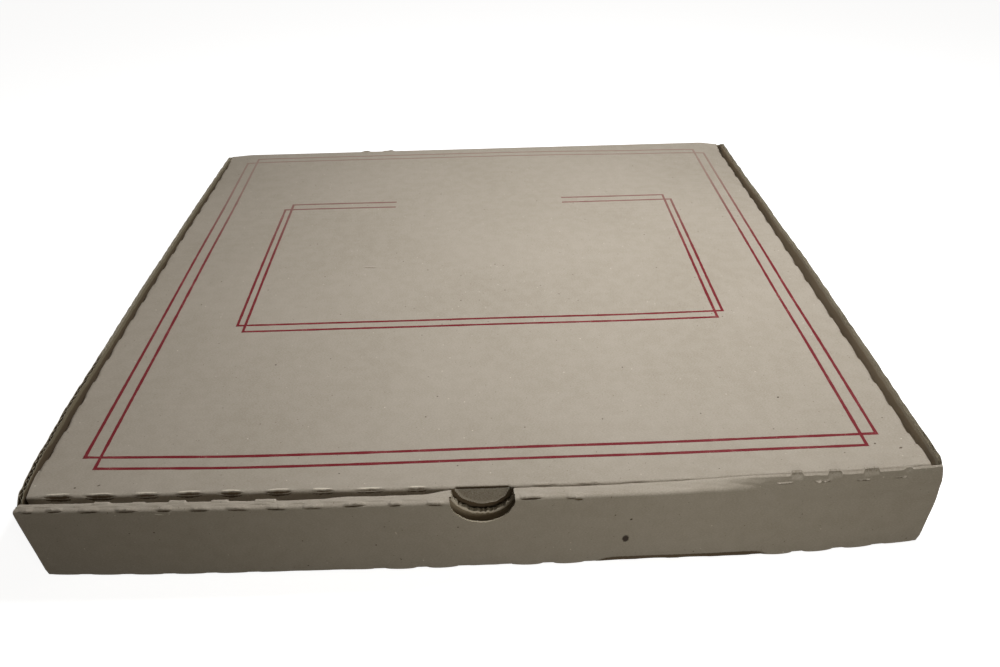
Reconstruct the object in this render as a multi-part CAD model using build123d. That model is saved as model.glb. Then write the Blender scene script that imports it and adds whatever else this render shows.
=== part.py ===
"""Folded one-piece corrugated pizza box with its hinged lid closed.

Millimetres, +Z up, +X to the right and +Y to the back of the box. The origin is on the table
under the middle of the box.
"""

from build123d import *
from math import floor, radians, tan
import os

# Overall size of the folded box
width = 330.0  # across the front corners, outside
depth = 318.0  # from the front face to the back face
height = 35.7  # from the table to the top of the front ledge and of the closed lid

# Board and folds
board = 1.6  # fine corrugated board
fold_radius = 1.0  # of the board's middle line round a fold
edge_gap = 0.2  # between a panel's free edge and the panel that it meets
layer_gap = 0.4  # between two layers that stand side by side

# Front wall, rolled over from the outside to the inside
ledge_depth = 5.6  # outer face to inner face, across the flat top
notch_width = 23.2
notch_depth = 9.6
lock_spacing = 160.0  # between the middles of the two lock tabs
lock_length = 36.0
lock_gap = 0.5  # round a lock tab in its slot

# Side walls of the tray
side_rise = 1.5  # how far the raw top edge stands above the lid
side_bulge = 3.5  # how far that edge bows outwards in the middle
side_corner_cut = 4.0  # slope at each end of the raw edge
front_tab_length = 46.0
back_tab_length = 42.0
back_tab_height = 28.0

# Lid
lid_side_gap = 0.35  # to the side walls at the corners
lid_front_gap = 0.4  # to the ledge
hinge_gap = 0.3  # between the lid's rolled back edge and the back wall's top
front_flap_height = 30.0
front_flap_setback = 2.2  # of its free edge, so that it clears the wall as it swings
front_flap_inset = 12.0  # the flap is shorter than the lid by this at each end
flap_taper = 12.0  # degrees, at the free corners of all three flaps
side_flap_height = 28.0
side_flap_front = 15.0  # from the lid's front edge to the start of each side flap
side_flap_back = 9.0  # from the box's back face to the end of each side flap
thumb_width = 19.0
thumb_depth = 8.1
thumb_groove = 0.6  # width of the half-cut line round the thumb tab
thumb_score = 0.8  # its depth

# Rows of short cuts along the folds: distance between cuts, length and opening of a cut
ledge_pitch, ledge_cut = 13.6, 5.6
lid_front_pitch, lid_front_cut = 16.2, 9.0
lid_side_pitch, lid_side_cut = 15.7, 8.0
bottom_pitch, bottom_cut = 15.8, 8.0
slit_opening = 0.5
lid_slit_opening = 0.9
slit_margin = 6.0  # bare fold at each end of a row

# Printed frames on the lid, each a wide and a tall line rectangle laid across each other.
# Each rectangle is given by its distances from the lid's side, front and back edges.
line_width = 1.2
print_thickness = 0.1
outer_wide_side, outer_wide_front, outer_wide_back = 12.8, 21.8, 17.0
outer_tall_side, outer_tall_front, outer_tall_back = 18.8, 15.8, 11.5
inner_wide_side, inner_wide_front, inner_wide_back = 49.4, 108.6, 84.9
inner_tall_side, inner_tall_front, inner_tall_back = 53.1, 103.6, 78.8
inner_shift = 0.6  # the inner frame sits this far right of the middle
inner_bare = 64.0  # length of each of the inner frame's back lines, up to the bare middle

# Places that follow from the sizes
front = -depth / 2
back = depth / 2
half = width / 2
mid_board = board / 2
side_inner = half - board
lid_half = side_inner - lid_side_gap
lid_front = front + ledge_depth + lid_front_gap
lid_under = height - board
hinge_y = back - mid_board
hinge_z = height - mid_board
back_top = lid_under - hinge_gap
side_top = height + side_rise
slit_reach = 2.4 * board  # long enough to pass right through a folded corner


def block(x_range, y_range, z_range):
    """Box between the given limits."""
    low = [min(r) for r in (x_range, y_range, z_range)]
    size = [abs(r[1] - r[0]) for r in (x_range, y_range, z_range)]
    return Pos(*low) * Box(*size, align=(Align.MIN, Align.MIN, Align.MIN))


def folded_board(plane, points, length):
    """Board whose middle line runs through the points with rounded folds, extruded from a plane."""
    middle = FilletPolyline(*points, radius=fold_radius)
    return extrude(plane * trace(middle, board), length)


def both_sides(shape):
    """The right-hand shape and its mirror image on the left."""
    return [shape, mirror(shape, Plane.YZ)]


def row_places(length, pitch):
    """Middles of the cuts in a row centred on a fold of the given length."""
    count = floor((length - 2 * slit_margin) / pitch) + 1
    return [(i - (count - 1) / 2) * pitch for i in range(count)]


def slits_along_x(length, pitch, cut, opening, y, z, tilt, outwards=0):
    """Row of cuts through a fold that runs along X, tilted to split its corner.

    A row that is moved outwards by half its reach cuts only the outer half of the board.
    """
    cutter = Rot(tilt, 0, 0) * Pos(0, 0, outwards) * Box(cut, opening, slit_reach)
    return [Pos(x, y, z) * cutter for x in row_places(length, pitch)]


def slits_along_y(length, pitch, cut, opening, x, y, z, tilt):
    """Row of cuts through a fold that runs along Y."""
    cutter = Rot(0, tilt, 0) * Box(opening, cut, slit_reach)
    return [Pos(x, y + place, z) * cutter for place in row_places(length, pitch)]


def sheet_profile():
    """Base panel with the rolled front wall and the back wall, as one bent board."""
    inner = front + ledge_depth - mid_board
    outer = front + mid_board
    points = [
        (inner, board + edge_gap),
        (inner, height - mid_board),
        (outer, height - mid_board),
        (outer, mid_board),
        (back - mid_board, mid_board),
        (back - mid_board, back_top),
    ]
    return folded_board(Plane.YZ.offset(-half), points, width)


def room_for_side_walls():
    """Space at each end of the ledge for the side walls, between the outer wall and the inner."""
    ends = block(
        (side_inner - layer_gap, half + board),
        (front + board, front + ledge_depth + board),
        (board, lid_under),
    )
    return both_sides(ends)


def side_section(level, fold_x, bulge, y_low, y_high):
    """Plan of the right side wall at one level: a band of board, bowed outwards by the bulge."""
    y_middle = (y_low + y_high) / 2
    inner_x = fold_x - board
    if bulge:
        outer = ThreePointArc((fold_x, y_low), (fold_x + bulge, y_middle), (fold_x, y_high))
        inner = ThreePointArc((inner_x, y_high), (inner_x + bulge, y_middle), (inner_x, y_low))
    else:
        outer = Line((fold_x, y_low), (fold_x, y_high))
        inner = Line((inner_x, y_high), (inner_x, y_low))
    ends = [Line((fold_x, y_high), (inner_x, y_high)), Line((inner_x, y_low), (fold_x, y_low))]
    return Plane.XY.offset(level) * make_face([outer, ends[0], inner, ends[1]])


def side_wall():
    """Right side wall: straight along its bottom fold, bowed along its raw top edge."""
    y_low = front + ledge_depth + layer_gap
    y_high = back - board - layer_gap
    wall = loft(
        [
            side_section(0, half, 0, y_low, y_high),
            side_section(side_top, half, side_bulge, y_low, y_high),
        ],
        ruled=True,
    )
    slope = make_face(Polyline((0, 0), (side_corner_cut, 0), (0, -side_corner_cut), close=True))
    slope = extrude(Plane.YZ * slope, width)
    top_front = Pos(0, y_low, side_top) * slope
    top_back = Pos(0, y_high, side_top) * mirror(slope, Plane.XZ)
    return wall - [top_front, top_back]


def front_tab():
    """Tab of the right side wall, folded in between the two layers of the front wall."""
    y_line = front + board + layer_gap + mid_board
    points = [
        (half - mid_board, front + ledge_depth + 2 * layer_gap),
        (half - mid_board, y_line),
        (half - front_tab_length, y_line),
    ]
    foot = board + edge_gap
    return folded_board(Plane.XY.offset(foot), points, lid_under - edge_gap - foot)


def front_corner():
    """Strip of the right side wall that runs forward under the ledge, down to the base."""
    y_low = front + board + layer_gap + fold_radius + mid_board
    y_high = front + ledge_depth + 2 * layer_gap
    return block((side_inner, half), (y_low, y_high), (0, lid_under - edge_gap))


def back_tab():
    """Tab of the right side wall, folded in behind the lid's flap against the back wall."""
    y_line = back - board - layer_gap - mid_board
    points = [
        (half - mid_board, y_line - ledge_depth),
        (half - mid_board, y_line),
        (half - back_tab_length, y_line),
    ]
    foot = board + edge_gap
    tab = folded_board(Plane.XY.offset(foot), points, back_tab_height)
    drop = back_tab_length * tan(radians(flap_taper))
    free_end = half - back_tab_length
    wedge = make_face(
        Polyline(
            (free_end, foot + back_tab_height),
            (side_inner, foot + back_tab_height),
            (free_end, foot + back_tab_height - drop),
            close=True,
        )
    )
    return tab - extrude(Plane.XZ.offset(-back) * wedge, 2 * ledge_depth)


def thumb_notch():
    """Half-moon cutter through both layers of the front wall and the ledge between them."""
    radius = ((notch_width / 2) ** 2 + notch_depth**2) / (2 * notch_depth)
    centre = height - notch_depth + radius
    length = ledge_depth + 2 * layer_gap
    cutter = Rot(90, 0, 0) * Cylinder(radius, length)
    return Pos(0, front + ledge_depth / 2, centre) * cutter


def lock_slots():
    """Slots in the base for the lock tabs."""
    y_line = front + ledge_depth - mid_board
    slot = Box(lock_length + 2 * lock_gap, board + 2 * lock_gap, 2 * board)
    return [Pos(side * lock_spacing / 2, y_line, mid_board) * slot for side in (-1, 1)]


def lock_tabs():
    """Tabs on the inner front wall that reach through the base, flush with its underside."""
    y_low = front + ledge_depth - board
    tabs = []
    for side in (-1, 1):
        middle = side * lock_spacing / 2
        x_range = (middle - lock_length / 2, middle + lock_length / 2)
        tabs.append(block(x_range, (y_low, y_low + board), (0, 2 * board)))
    return tabs


def tray_slits():
    """Rows of cuts along the two folds of the ledge and the bottom fold of the front wall."""
    outer = front + mid_board
    inner = front + ledge_depth - mid_board
    top = height - mid_board
    ledge = (width, ledge_pitch, ledge_cut, slit_opening)
    bottom = (width, bottom_pitch, bottom_cut, slit_opening)
    notch_reach = notch_width / 2 + ledge_cut / 2
    rows = slits_along_x(*ledge, outer, top, 45) + slits_along_x(*ledge, inner, top, -45)
    clear = [slit for slit in rows if abs(slit.center().X) > notch_reach]
    return clear + slits_along_x(*bottom, outer, mid_board, 135, slit_reach / 2)


def make_tray():
    """The whole tray, folded from the same sheet."""
    tray = sheet_profile() - room_for_side_walls() - lock_slots() + lock_tabs()
    for piece in (side_wall(), front_corner(), front_tab(), back_tab()):
        tray = tray + both_sides(piece)
    return tray - thumb_notch() - tray_slits()


def lid_sheet():
    """Lid panel with its front flap, and the rolled back edge that turns over the back wall."""
    y_fold = lid_front + mid_board
    z_foot = height - front_flap_height
    points = [
        (hinge_y, hinge_z),
        (y_fold, hinge_z),
        (y_fold + front_flap_setback, z_foot),
    ]
    sheet = folded_board(Plane.YZ.offset(-lid_half), points, 2 * lid_half)
    rolled_edge = Pos(0, hinge_y, hinge_z) * Rot(0, 90, 0) * Cylinder(mid_board, 2 * lid_half)
    return sheet + rolled_edge


def front_flap_ends():
    """Cutter that shortens the front flap and tapers its right-hand end."""
    flap_end = lid_half - front_flap_inset
    z_top = lid_under - edge_gap
    z_foot = height - front_flap_height - board
    drift = (z_top - z_foot) * tan(radians(flap_taper))
    outline = [(flap_end, z_top), (half, z_top), (half, z_foot), (flap_end - drift, z_foot)]
    cutter = make_face(Polyline(*outline, close=True))
    reach = 2 * board + 2 * front_flap_setback
    return extrude(Plane.XZ.offset(-(lid_front + reach)) * cutter, reach + board)


def side_flap():
    """Right side flap of the lid with its fold, tapered towards its free corners."""
    y_low = lid_front + side_flap_front
    y_high = back - side_flap_back
    x_fold = lid_half - mid_board
    z_foot = height - side_flap_height
    points = [(x_fold - 2 * ledge_depth, hinge_z), (x_fold, hinge_z), (x_fold, z_foot)]
    flap = folded_board(Plane.XZ.offset(-y_high), points, y_high - y_low)
    drift = (lid_under - z_foot) * tan(radians(flap_taper))
    corner = Polyline((0, lid_under), (0, z_foot), (drift, z_foot), close=True)
    wedge = extrude(Plane.YZ.offset(x_fold - board) * make_face(corner), 2 * board)
    at_front = Pos(0, y_low, 0) * wedge
    at_back = Pos(0, y_high, 0) * mirror(wedge, Plane.XZ)
    return flap - [at_front, at_back]


def square_lid_edge():
    """Cutter that takes the plain panel edge away where the fold of a side flap runs."""
    y_low = lid_front + side_flap_front
    y_high = back - side_flap_back
    return block((lid_half - mid_board - fold_radius, half), (y_low, y_high), (lid_under, side_top))


def thumb_tab_line():
    """Half-cut line round the thumb tab in the front flap, and the slit along its fold."""
    radius = ((thumb_width / 2) ** 2 + thumb_depth**2) / (2 * thumb_depth)
    centre = height - thumb_depth + radius
    ring = Circle(radius + thumb_groove / 2) - Circle(radius - thumb_groove / 2)
    half_moon = ring & Pos(0, lid_under - centre - radius) * Rectangle(4 * radius, 2 * radius)
    reach = thumb_score + front_flap_setback * thumb_depth / front_flap_height
    groove = extrude(Plane.XZ.offset(-lid_front - reach) * Pos(0, centre) * half_moon, reach + board)
    slit = Rot(45, 0, 0) * Box(thumb_width, lid_slit_opening, slit_reach)
    return [groove, Pos(0, lid_front + mid_board, hinge_z) * slit]


def lid_slits():
    """Rows of cuts along the front fold and the two side folds of the lid."""
    front_row = slits_along_x(
        2 * lid_half,
        lid_front_pitch,
        lid_front_cut,
        lid_slit_opening,
        lid_front + mid_board,
        hinge_z,
        45,
    )
    thumb_reach = (thumb_width + lid_front_cut) / 2
    clear = [slit for slit in front_row if abs(slit.center().X) > thumb_reach]
    y_low = lid_front + side_flap_front
    y_high = back - side_flap_back
    side_row = slits_along_y(
        y_high - y_low,
        lid_side_pitch,
        lid_side_cut,
        lid_slit_opening,
        lid_half - mid_board,
        (y_low + y_high) / 2,
        hinge_z,
        45,
    )
    return clear + [copy for slit in side_row for copy in both_sides(slit)]


def make_lid():
    """The lid with its three flaps."""
    lid = lid_sheet() - both_sides(front_flap_ends()) - both_sides(square_lid_edge())
    lid = lid + both_sides(side_flap())
    return lid - thumb_tab_line() - lid_slits()


def line_rectangle(from_side, from_front, from_back, shift):
    """Rectangle drawn with one printed line; the sizes run to the middle of the line."""
    across = 2 * (lid_half - from_side)
    y_low = lid_front + from_front
    y_high = back - from_back
    ring = Rectangle(across + line_width, y_high - y_low + line_width)
    ring = ring - Rectangle(across - line_width, y_high - y_low - line_width)
    return Pos(shift, (y_low + y_high) / 2) * ring


def make_outer_frame():
    """Frame of ink that runs round the lid near its edges."""
    lines = line_rectangle(outer_wide_side, outer_wide_front, outer_wide_back, 0)
    lines = lines + line_rectangle(outer_tall_side, outer_tall_front, outer_tall_back, 0)
    return extrude(Plane.XY.offset(height) * lines, print_thickness)


def make_inner_frame():
    """Smaller frame on the back half of the lid, with the middle of its back lines left bare."""
    lines = line_rectangle(inner_wide_side, inner_wide_front, inner_wide_back, inner_shift)
    lines = lines + line_rectangle(inner_tall_side, inner_tall_front, inner_tall_back, inner_shift)
    bare_across = 2 * (lid_half - inner_wide_side - inner_bare)
    bare_along = 2 * (inner_wide_back - inner_tall_back) + 2 * line_width
    y_bare = back - (inner_wide_back + inner_tall_back) / 2
    bare = Pos(inner_shift, y_bare) * Rectangle(bare_across, bare_along)
    return extrude(Plane.XY.offset(height) * (lines - bare), print_thickness)


def main():
    """Writes one file for each piece."""
    os.makedirs("parts", exist_ok=True)
    pieces = {
        "tray": make_tray(),
        "lid": make_lid(),
        "outer_frame_print": make_outer_frame(),
        "inner_frame_print": make_inner_frame(),
    }
    for name, shape in pieces.items():
        export_step(shape, f"parts/{name}.step")


main()
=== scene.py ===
"""Looks of a folded corrugated pizza box with printed line frames on its hinged lid.

Shapes are worked out in millimetres and become metres when a mesh is made. +Z is up, +X to the
right and +Y to the back of the box, and the origin is on the table under the middle of the box.
"""

import logging
from dataclasses import dataclass
from enum import Enum, IntEnum

import bpy
import numpy as np
from mathutils import Matrix, Vector


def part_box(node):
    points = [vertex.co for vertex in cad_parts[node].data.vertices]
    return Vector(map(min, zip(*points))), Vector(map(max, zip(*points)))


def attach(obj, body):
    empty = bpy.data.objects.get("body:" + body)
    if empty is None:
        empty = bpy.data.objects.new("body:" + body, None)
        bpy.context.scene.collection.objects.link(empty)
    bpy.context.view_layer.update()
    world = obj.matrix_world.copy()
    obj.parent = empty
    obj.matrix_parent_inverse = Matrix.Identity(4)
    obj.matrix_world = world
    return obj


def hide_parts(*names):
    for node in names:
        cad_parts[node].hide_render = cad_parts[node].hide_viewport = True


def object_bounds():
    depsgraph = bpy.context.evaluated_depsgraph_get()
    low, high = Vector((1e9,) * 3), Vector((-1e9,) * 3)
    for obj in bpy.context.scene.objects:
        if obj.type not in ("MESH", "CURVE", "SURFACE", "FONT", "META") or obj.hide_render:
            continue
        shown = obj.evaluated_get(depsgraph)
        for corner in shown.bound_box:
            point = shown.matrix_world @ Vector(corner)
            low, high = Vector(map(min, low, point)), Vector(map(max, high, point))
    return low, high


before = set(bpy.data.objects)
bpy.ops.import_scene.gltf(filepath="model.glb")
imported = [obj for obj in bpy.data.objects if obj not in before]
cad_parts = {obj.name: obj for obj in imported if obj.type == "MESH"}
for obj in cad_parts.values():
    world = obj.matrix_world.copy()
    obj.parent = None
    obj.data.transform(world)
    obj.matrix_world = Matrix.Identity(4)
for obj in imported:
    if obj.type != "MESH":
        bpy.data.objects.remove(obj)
CAD_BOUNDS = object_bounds()

METRES = 0.001
LIMITS = np.array([list(corner) for corner in CAD_BOUNDS]) / METRES
LOG = logging.getLogger("pizza_box")

Array = np.ndarray
Object = bpy.types.Object
Socket = bpy.types.NodeSocket
Colour = tuple[int, int, int]


class Side(IntEnum):
    """The left or the right of the box, as the sign of X."""

    LEFT = -1
    RIGHT = 1


class Skin(IntEnum):
    """The material places of a board: its two faces, and its cut edges by the run of the flutes."""

    OUTER = 0
    INNER = 1
    ACROSS = 2
    ALONG = 3


class Flutes(IntEnum):
    """The grid direction that the flutes of a board run along."""

    ALONG_U = 0
    ALONG_V = 1


class Paper(Enum):
    """Liner papers, each with its middle, dark and light display colour."""

    GREY = ((178, 168, 154), (153, 143, 126), (199, 191, 179))
    BROWN = ((150, 137, 116), (126, 113, 93), (172, 160, 142))
    OLIVE = ((186, 173, 151), (164, 150, 126), (202, 191, 170))
    # A darker copy of the olive paper: painted shade for the inside of the left walls and tabs.
    PAINTED_SHADE = ((116, 107, 87), (98, 88, 69), (138, 129, 108))


@dataclass(frozen=True)
class Plan:
    """Driving sizes of the box in millimetres. The outer limits come from the frame."""

    front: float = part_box("tray")[0].y / METRES
    back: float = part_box("tray")[1].y / METRES
    rim_top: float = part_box("tray")[1].z / METRES
    top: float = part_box("lid")[1].z / METRES
    lid_half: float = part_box("lid")[1].x / METRES
    lid_front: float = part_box("lid")[0].y / METRES
    half: float = 165.0
    board: float = 1.6
    fold_radius: float = 1.0
    fold_trim: float = 1.25
    ledge: float = 5.6
    edge_gap: float = 0.2
    layer_gap: float = 0.4
    front_seam: float = -145.0
    back_seam: float = 150.0
    side_seam: float = 159.0
    lid_front_seam: float = -146.0
    lid_side_seam: float = 156.0
    flute_pitch: float = 3.35
    liner: float = 0.13

    @property
    def mid(self) -> float:
        """Half of the board's thickness."""
        return self.board / 2

    @property
    def side_room(self) -> float:
        """How far out a layer inside a side wall may reach."""
        return self.half - self.board - self.layer_gap

    @property
    def hinge_y(self) -> float:
        """Y of the lid's hinge axis."""
        return self.back - self.mid

    @property
    def hinge_z(self) -> float:
        """Z of the lid's hinge axis."""
        return self.top - self.mid


PLAN = Plan()


@dataclass(frozen=True)
class Curve:
    """A value that changes smoothly along one direction, through chosen places.

    Between two places it is the cubic that meets both values with the slopes of the chords
    round them, and past the ends it keeps the end values.
    """

    places: tuple[float, ...]
    values: tuple[float, ...]

    def __call__(self, x: Array) -> Array:
        """Works the value out.

        Args:
            x: Places along the direction.

        Returns:
            The value at each place.
        """
        places, values = np.asarray(self.places), np.asarray(self.values)
        slopes = np.gradient(values, places)
        x = np.clip(x, places[0], places[-1])
        i = np.clip(np.searchsorted(places, x) - 1, 0, len(places) - 2)
        span = places[i + 1] - places[i]
        t = (x - places[i]) / span
        low = (1 + 2 * t) * (1 - t) ** 2 * values[i] + t * (1 - t) ** 2 * span * slopes[i]
        high = t**2 * (3 - 2 * t) * values[i + 1] + t**2 * (t - 1) * span * slopes[i + 1]
        return low + high


@dataclass(frozen=True)
class Ripple:
    """Smooth unevenness of about unit size: a sum of plane waves with seeded directions."""

    seed: int
    shortest: float
    longest: float
    waves: int = 10

    def __call__(self, a: Array, b: Array) -> Array:
        """Works the unevenness out.

        Args:
            a: First coordinate of each place, in millimetres.
            b: Second coordinate of each place, in millimetres.

        Returns:
            The sum of the waves at each place, divided so that it stays near one.
        """
        rng = np.random.default_rng(self.seed)
        length = rng.uniform(self.shortest, self.longest, self.waves)
        turn = rng.uniform(0, 2 * np.pi, self.waves)
        phase = rng.uniform(0, 2 * np.pi, self.waves)
        total = np.zeros(np.broadcast(a, b).shape)
        for wave in range(self.waves):
            along = a * np.cos(turn[wave]) + b * np.sin(turn[wave])
            total = total + np.sin(2 * np.pi * along / length[wave] + phase[wave])
        return total / np.sqrt(self.waves)


def ease(t: Array) -> Array:
    """Smooth step from 0 to 1: three t squared less two t cubed, held at the ends."""
    t = np.clip(t, 0, 1)
    return t * t * (3 - 2 * t)


def ramp(place: Array, start: float, end: float) -> Array:
    """Smooth step from 0 at the start to 1 at the end, which may be the lower of the two."""
    return ease((place - start) / (end - start))


def bell(off: Array, width: float | Array, power: int = 2) -> Array:
    """Bell curve of about the given half width: e to the minus (off over width) to the power."""
    return np.exp(-((off / width) ** power))


def unit(vectors: Array) -> Array:
    """Vectors brought to length one."""
    return vectors / np.maximum(np.linalg.norm(vectors, axis=-1, keepdims=True), 1e-9)


def centres(places: Array) -> Array:
    """Middles between neighbouring places."""
    return (places[:-1] + places[1:]) / 2


def grid_of(u: Array, v: Array) -> list[Array]:
    """Both coordinates of every point of a grid."""
    return np.meshgrid(u, v, indexing="ij")


def quads_of(ids: Array) -> Array:
    """Corner numbers of the cells of a grid of numbers, counter-clockwise from the low corner."""
    return np.stack([ids[:-1, :-1], ids[1:, :-1], ids[1:, 1:], ids[:-1, 1:]], axis=-1)


def every_cell(u: Array, v: Array) -> Array:
    """Mask with all cells of a grid kept."""
    return np.ones((len(u) - 1, len(v) - 1), bool)


def nearest_cut(x: Array, cuts: tuple[tuple[float, float], ...]) -> tuple[Array, Array]:
    """The cut nearest to each place of a fold.

    Args:
        x: Places along the fold.
        cuts: Middle and length of each cut.

    Returns:
        Number of the nearest cut, and how far the place is on the way from the cut's middle to
        its end, -1 and 1 at the ends.
    """
    places, lengths = np.array(cuts).T
    nearest = np.abs(x[:, None] - places).argmin(axis=1)
    return nearest, (x - places[nearest]) / (lengths[nearest] / 2)


def row_places(length: float, pitch: float, margin: float) -> Array:
    """Middles of evenly spaced cuts from the middle of a fold, with a bare margin at its ends."""
    count = int((length - 2 * margin) // pitch) + 1
    return (np.arange(count) - (count - 1) / 2) * pitch


def lens(x: Array, places: Array, reach: float) -> Array:
    """Row of lens outlines: the half circle law, one at a cut's middle and 0 at its ends."""
    inside = 1 - ((x[..., None] - places) / reach) ** 2
    return np.sqrt(np.clip(inside, 0, None)).max(axis=-1)


def folded_path(corners: Array, trims: list[float], shares: list[Array], cells: list[int]) -> Array:
    """Path with rounded corners, one for each station.

    A corner is a quadratic curve: (1 - t) squared of the point where it starts, 2 t (1 - t) of
    the corner itself and t squared of the point where it ends. The rest is straight.

    Args:
        corners: Corner points, (stations, corners, 2).
        trims: Distance from each inner corner at which its curve starts and ends.
        shares: Shares of each straight at which it has points, from 0 to 1.
        cells: Number of cells round each inner corner.

    Returns:
        The points, (stations, points, 2).
    """
    step = np.diff(corners, axis=1)
    way = step / np.linalg.norm(step, axis=2, keepdims=True)
    last = step.shape[1] - 1
    parts = []
    for i in range(last + 1):
        begin = corners[:, i] + (way[:, i] * trims[i - 1] if i else 0)
        end = corners[:, i + 1] - (way[:, i] * trims[i] if i < last else 0)
        share = shares[i][None, :, None]
        parts.append(begin[:, None] * (1 - share) + end[:, None] * share)
        if i < last:
            t = np.linspace(0, 1, cells[i] + 1)[1:-1][None, :, None]
            corner = corners[:, None, i + 1]
            after = corner + way[:, None, i + 1] * trims[i]
            parts.append((1 - t) ** 2 * end[:, None] + 2 * t * (1 - t) * corner + t**2 * after)
    return np.concatenate(parts, axis=1)


def path_lengths(points: Array) -> Array:
    """Distance along one path at each of its points, from 0 at its start."""
    return np.concatenate([[0], np.cumsum(np.linalg.norm(np.diff(points, axis=0), axis=1))])


def normals_of(middle: Array, u: Array, v: Array) -> Array:
    """Unit normals of a grid surface: the cross product of its two gradients.

    Args:
        middle: Points, (u, v, 3).
        u: Flat coordinate of the rows.
        v: Flat coordinate of the columns.

    Returns:
        The normals, (u, v, 3).
    """
    across = np.gradient(middle, u, axis=0) * np.sign(u[-1] - u[0])
    along = np.gradient(middle, v, axis=1) * np.sign(v[-1] - v[0])
    return unit(np.cross(across, along))


@dataclass
class Slab:
    """A piece of board as two grids of points, one for each face, with cut edges between them.

    Cells of the grid that aren't kept leave holes and outlines, and every open edge is closed by
    a rim that runs from face to face and has the flutes of the board let into it.
    """

    name: str
    outer: Array
    inner: Array
    u: Array
    v: Array
    flutes: Flutes
    keep: Array | None = None
    rim_cells: int = 2
    pocket: float = 0.0
    torn: Array | None = None
    # Tint of the inner face, carried in the torn attribute: painted shade under the side walls' raw
    # edges, pale fray and brown round the thumb notch.
    inner_tint: Array | None = None
    origin: tuple[float, float] = (0.0, 0.0)
    medium_swing: float = 0.3
    medium_half: float = 0.09

    def pockets(self, along: Array, share: Array) -> Array:
        """Depth of the open flutes in an edge cut across them.

        The medium is a sine between the liners. A place is open where it is clear of both.

        Args:
            along: Place along the edge.
            share: Place across the board, 0 at the outer face and 1 at the inner.

        Returns:
            Depth below the cut edge.
        """
        medium = 0.5 + self.medium_swing * np.sin(2 * np.pi * along / PLAN.flute_pitch)
        from_medium = np.abs(share - medium) - self.medium_half
        clear = np.minimum(from_medium, 0.5 - np.abs(share - 0.5) - PLAN.liner)
        return self.pocket * ease(clear / self.medium_half)

    def rim_edges(self) -> tuple[Array, Array, Array]:
        """Open edges of the kept cells.

        Returns:
            Start and end vertex of each edge, counter-clockwise round the outer face, the two
            vertices one cell inwards from them, and the direction it runs (0 for u, 1 for v).
        """
        nu, nv = self.outer.shape[:2]
        ids = np.arange(nu * nv).reshape(nu, nv)
        a, b, c, d = ids[:-1, :-1], ids[1:, :-1], ids[1:, 1:], ids[:-1, 1:]
        kept = np.pad(self.keep, 1)
        sides = [
            (a, b, kept[1:-1, :-2], 0),
            (b, c, kept[2:, 1:-1], 1),
            (c, d, kept[1:-1, 2:], 0),
            (d, a, kept[:-2, 1:-1], 1),
        ]
        inward = [(d, c), (a, d), (b, a), (c, b)]
        pairs, inner_pairs, runs = [], [], []
        for (start, end, beside, run), (in_start, in_end) in zip(sides, inward):
            open_here = self.keep & ~beside
            pairs.append(np.stack([start[open_here], end[open_here]], axis=1))
            inner_pairs.append(np.stack([in_start[open_here], in_end[open_here]], axis=1))
            runs.append(np.full(open_here.sum(), run))
        return np.concatenate(pairs), np.concatenate(inner_pairs), np.concatenate(runs)

    def inward_ways(self, edges: Array, inner_edges: Array) -> Array:
        """Unit directions from the rim into the board: the mean of the ways along its cells.

        Args:
            edges: Start and end vertex of each open edge.
            inner_edges: The vertices one cell inwards from them.

        Returns:
            The direction at each vertex of the grid, 0 away from the rim.
        """
        middle = ((self.outer + self.inner) / 2).reshape(-1, 3)
        inward = np.zeros(middle.shape)
        for column in (0, 1):
            way = unit(middle[inner_edges[:, column]] - middle[edges[:, column]])
            np.add.at(inward, edges[:, column], way)
        return unit(inward)

    def build(self, materials: list[bpy.types.Material]) -> Object:
        """Makes the mesh object.

        Args:
            materials: Materials in the order of Skin.

        Returns:
            The object, at the origin, with smooth faces and sharp corners.
        """
        if self.keep is None:
            self.keep = every_cell(self.u, self.v)
        count = len(self.u) * len(self.v)
        quad = quads_of(np.arange(count).reshape(len(self.u), len(self.v)))[self.keep]
        outer, inner = self.outer.reshape(-1, 3), self.inner.reshape(-1, 3)
        flat = np.stack(grid_of(self.u, self.v), axis=-1).reshape(-1, 2)
        edges, inner_edges, runs = self.rim_edges()
        faces = [quad, quad[:, ::-1] + count]
        skins = [np.full(len(quad), Skin.OUTER), np.full(len(quad), Skin.INNER)]
        sheet = flat + np.array(self.origin)
        maps = [sheet[quad], sheet[quad[:, ::-1]]]

        rim = np.unique(edges)
        place = np.full(count, -1)
        place[rim] = np.arange(len(rim))
        inward = self.inward_ways(edges, inner_edges)[rim]
        across_run = 1 - int(self.flutes)
        run_seen = np.zeros((count, 2), bool)
        run_seen[edges.ravel(), np.repeat(runs, 2)] = True
        only_across = run_seen[rim, across_run] & ~run_seen[rim, 1 - across_run]
        along = flat[rim, across_run]
        shares = np.linspace(0, 1, self.rim_cells + 1)
        layers = []
        crushed = 0 if self.torn is None else np.clip(-self.torn.ravel()[rim], 0, 1)
        for share in shares[1:-1]:
            depth = np.where(only_across, self.pockets(along, np.full(len(rim), share)), 0)
            depth = depth * (1 - crushed)
            point = outer[rim] * (1 - share) + inner[rim] * share
            layers.append(point + inward * depth[:, None])
        points = np.concatenate([outer, inner, *layers])

        def level(vertices: Array, k: int) -> Array:
            """Vertex numbers of rim vertices at one level between the faces.

            Args:
                vertices: Numbers of the vertices on the outer face.
                k: Level, 0 at the outer face.

            Returns:
                Their numbers at that level.
            """
            if k == 0:
                return vertices
            if k == self.rim_cells:
                return vertices + count
            return 2 * count + (k - 1) * len(rim) + place[vertices]

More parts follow.
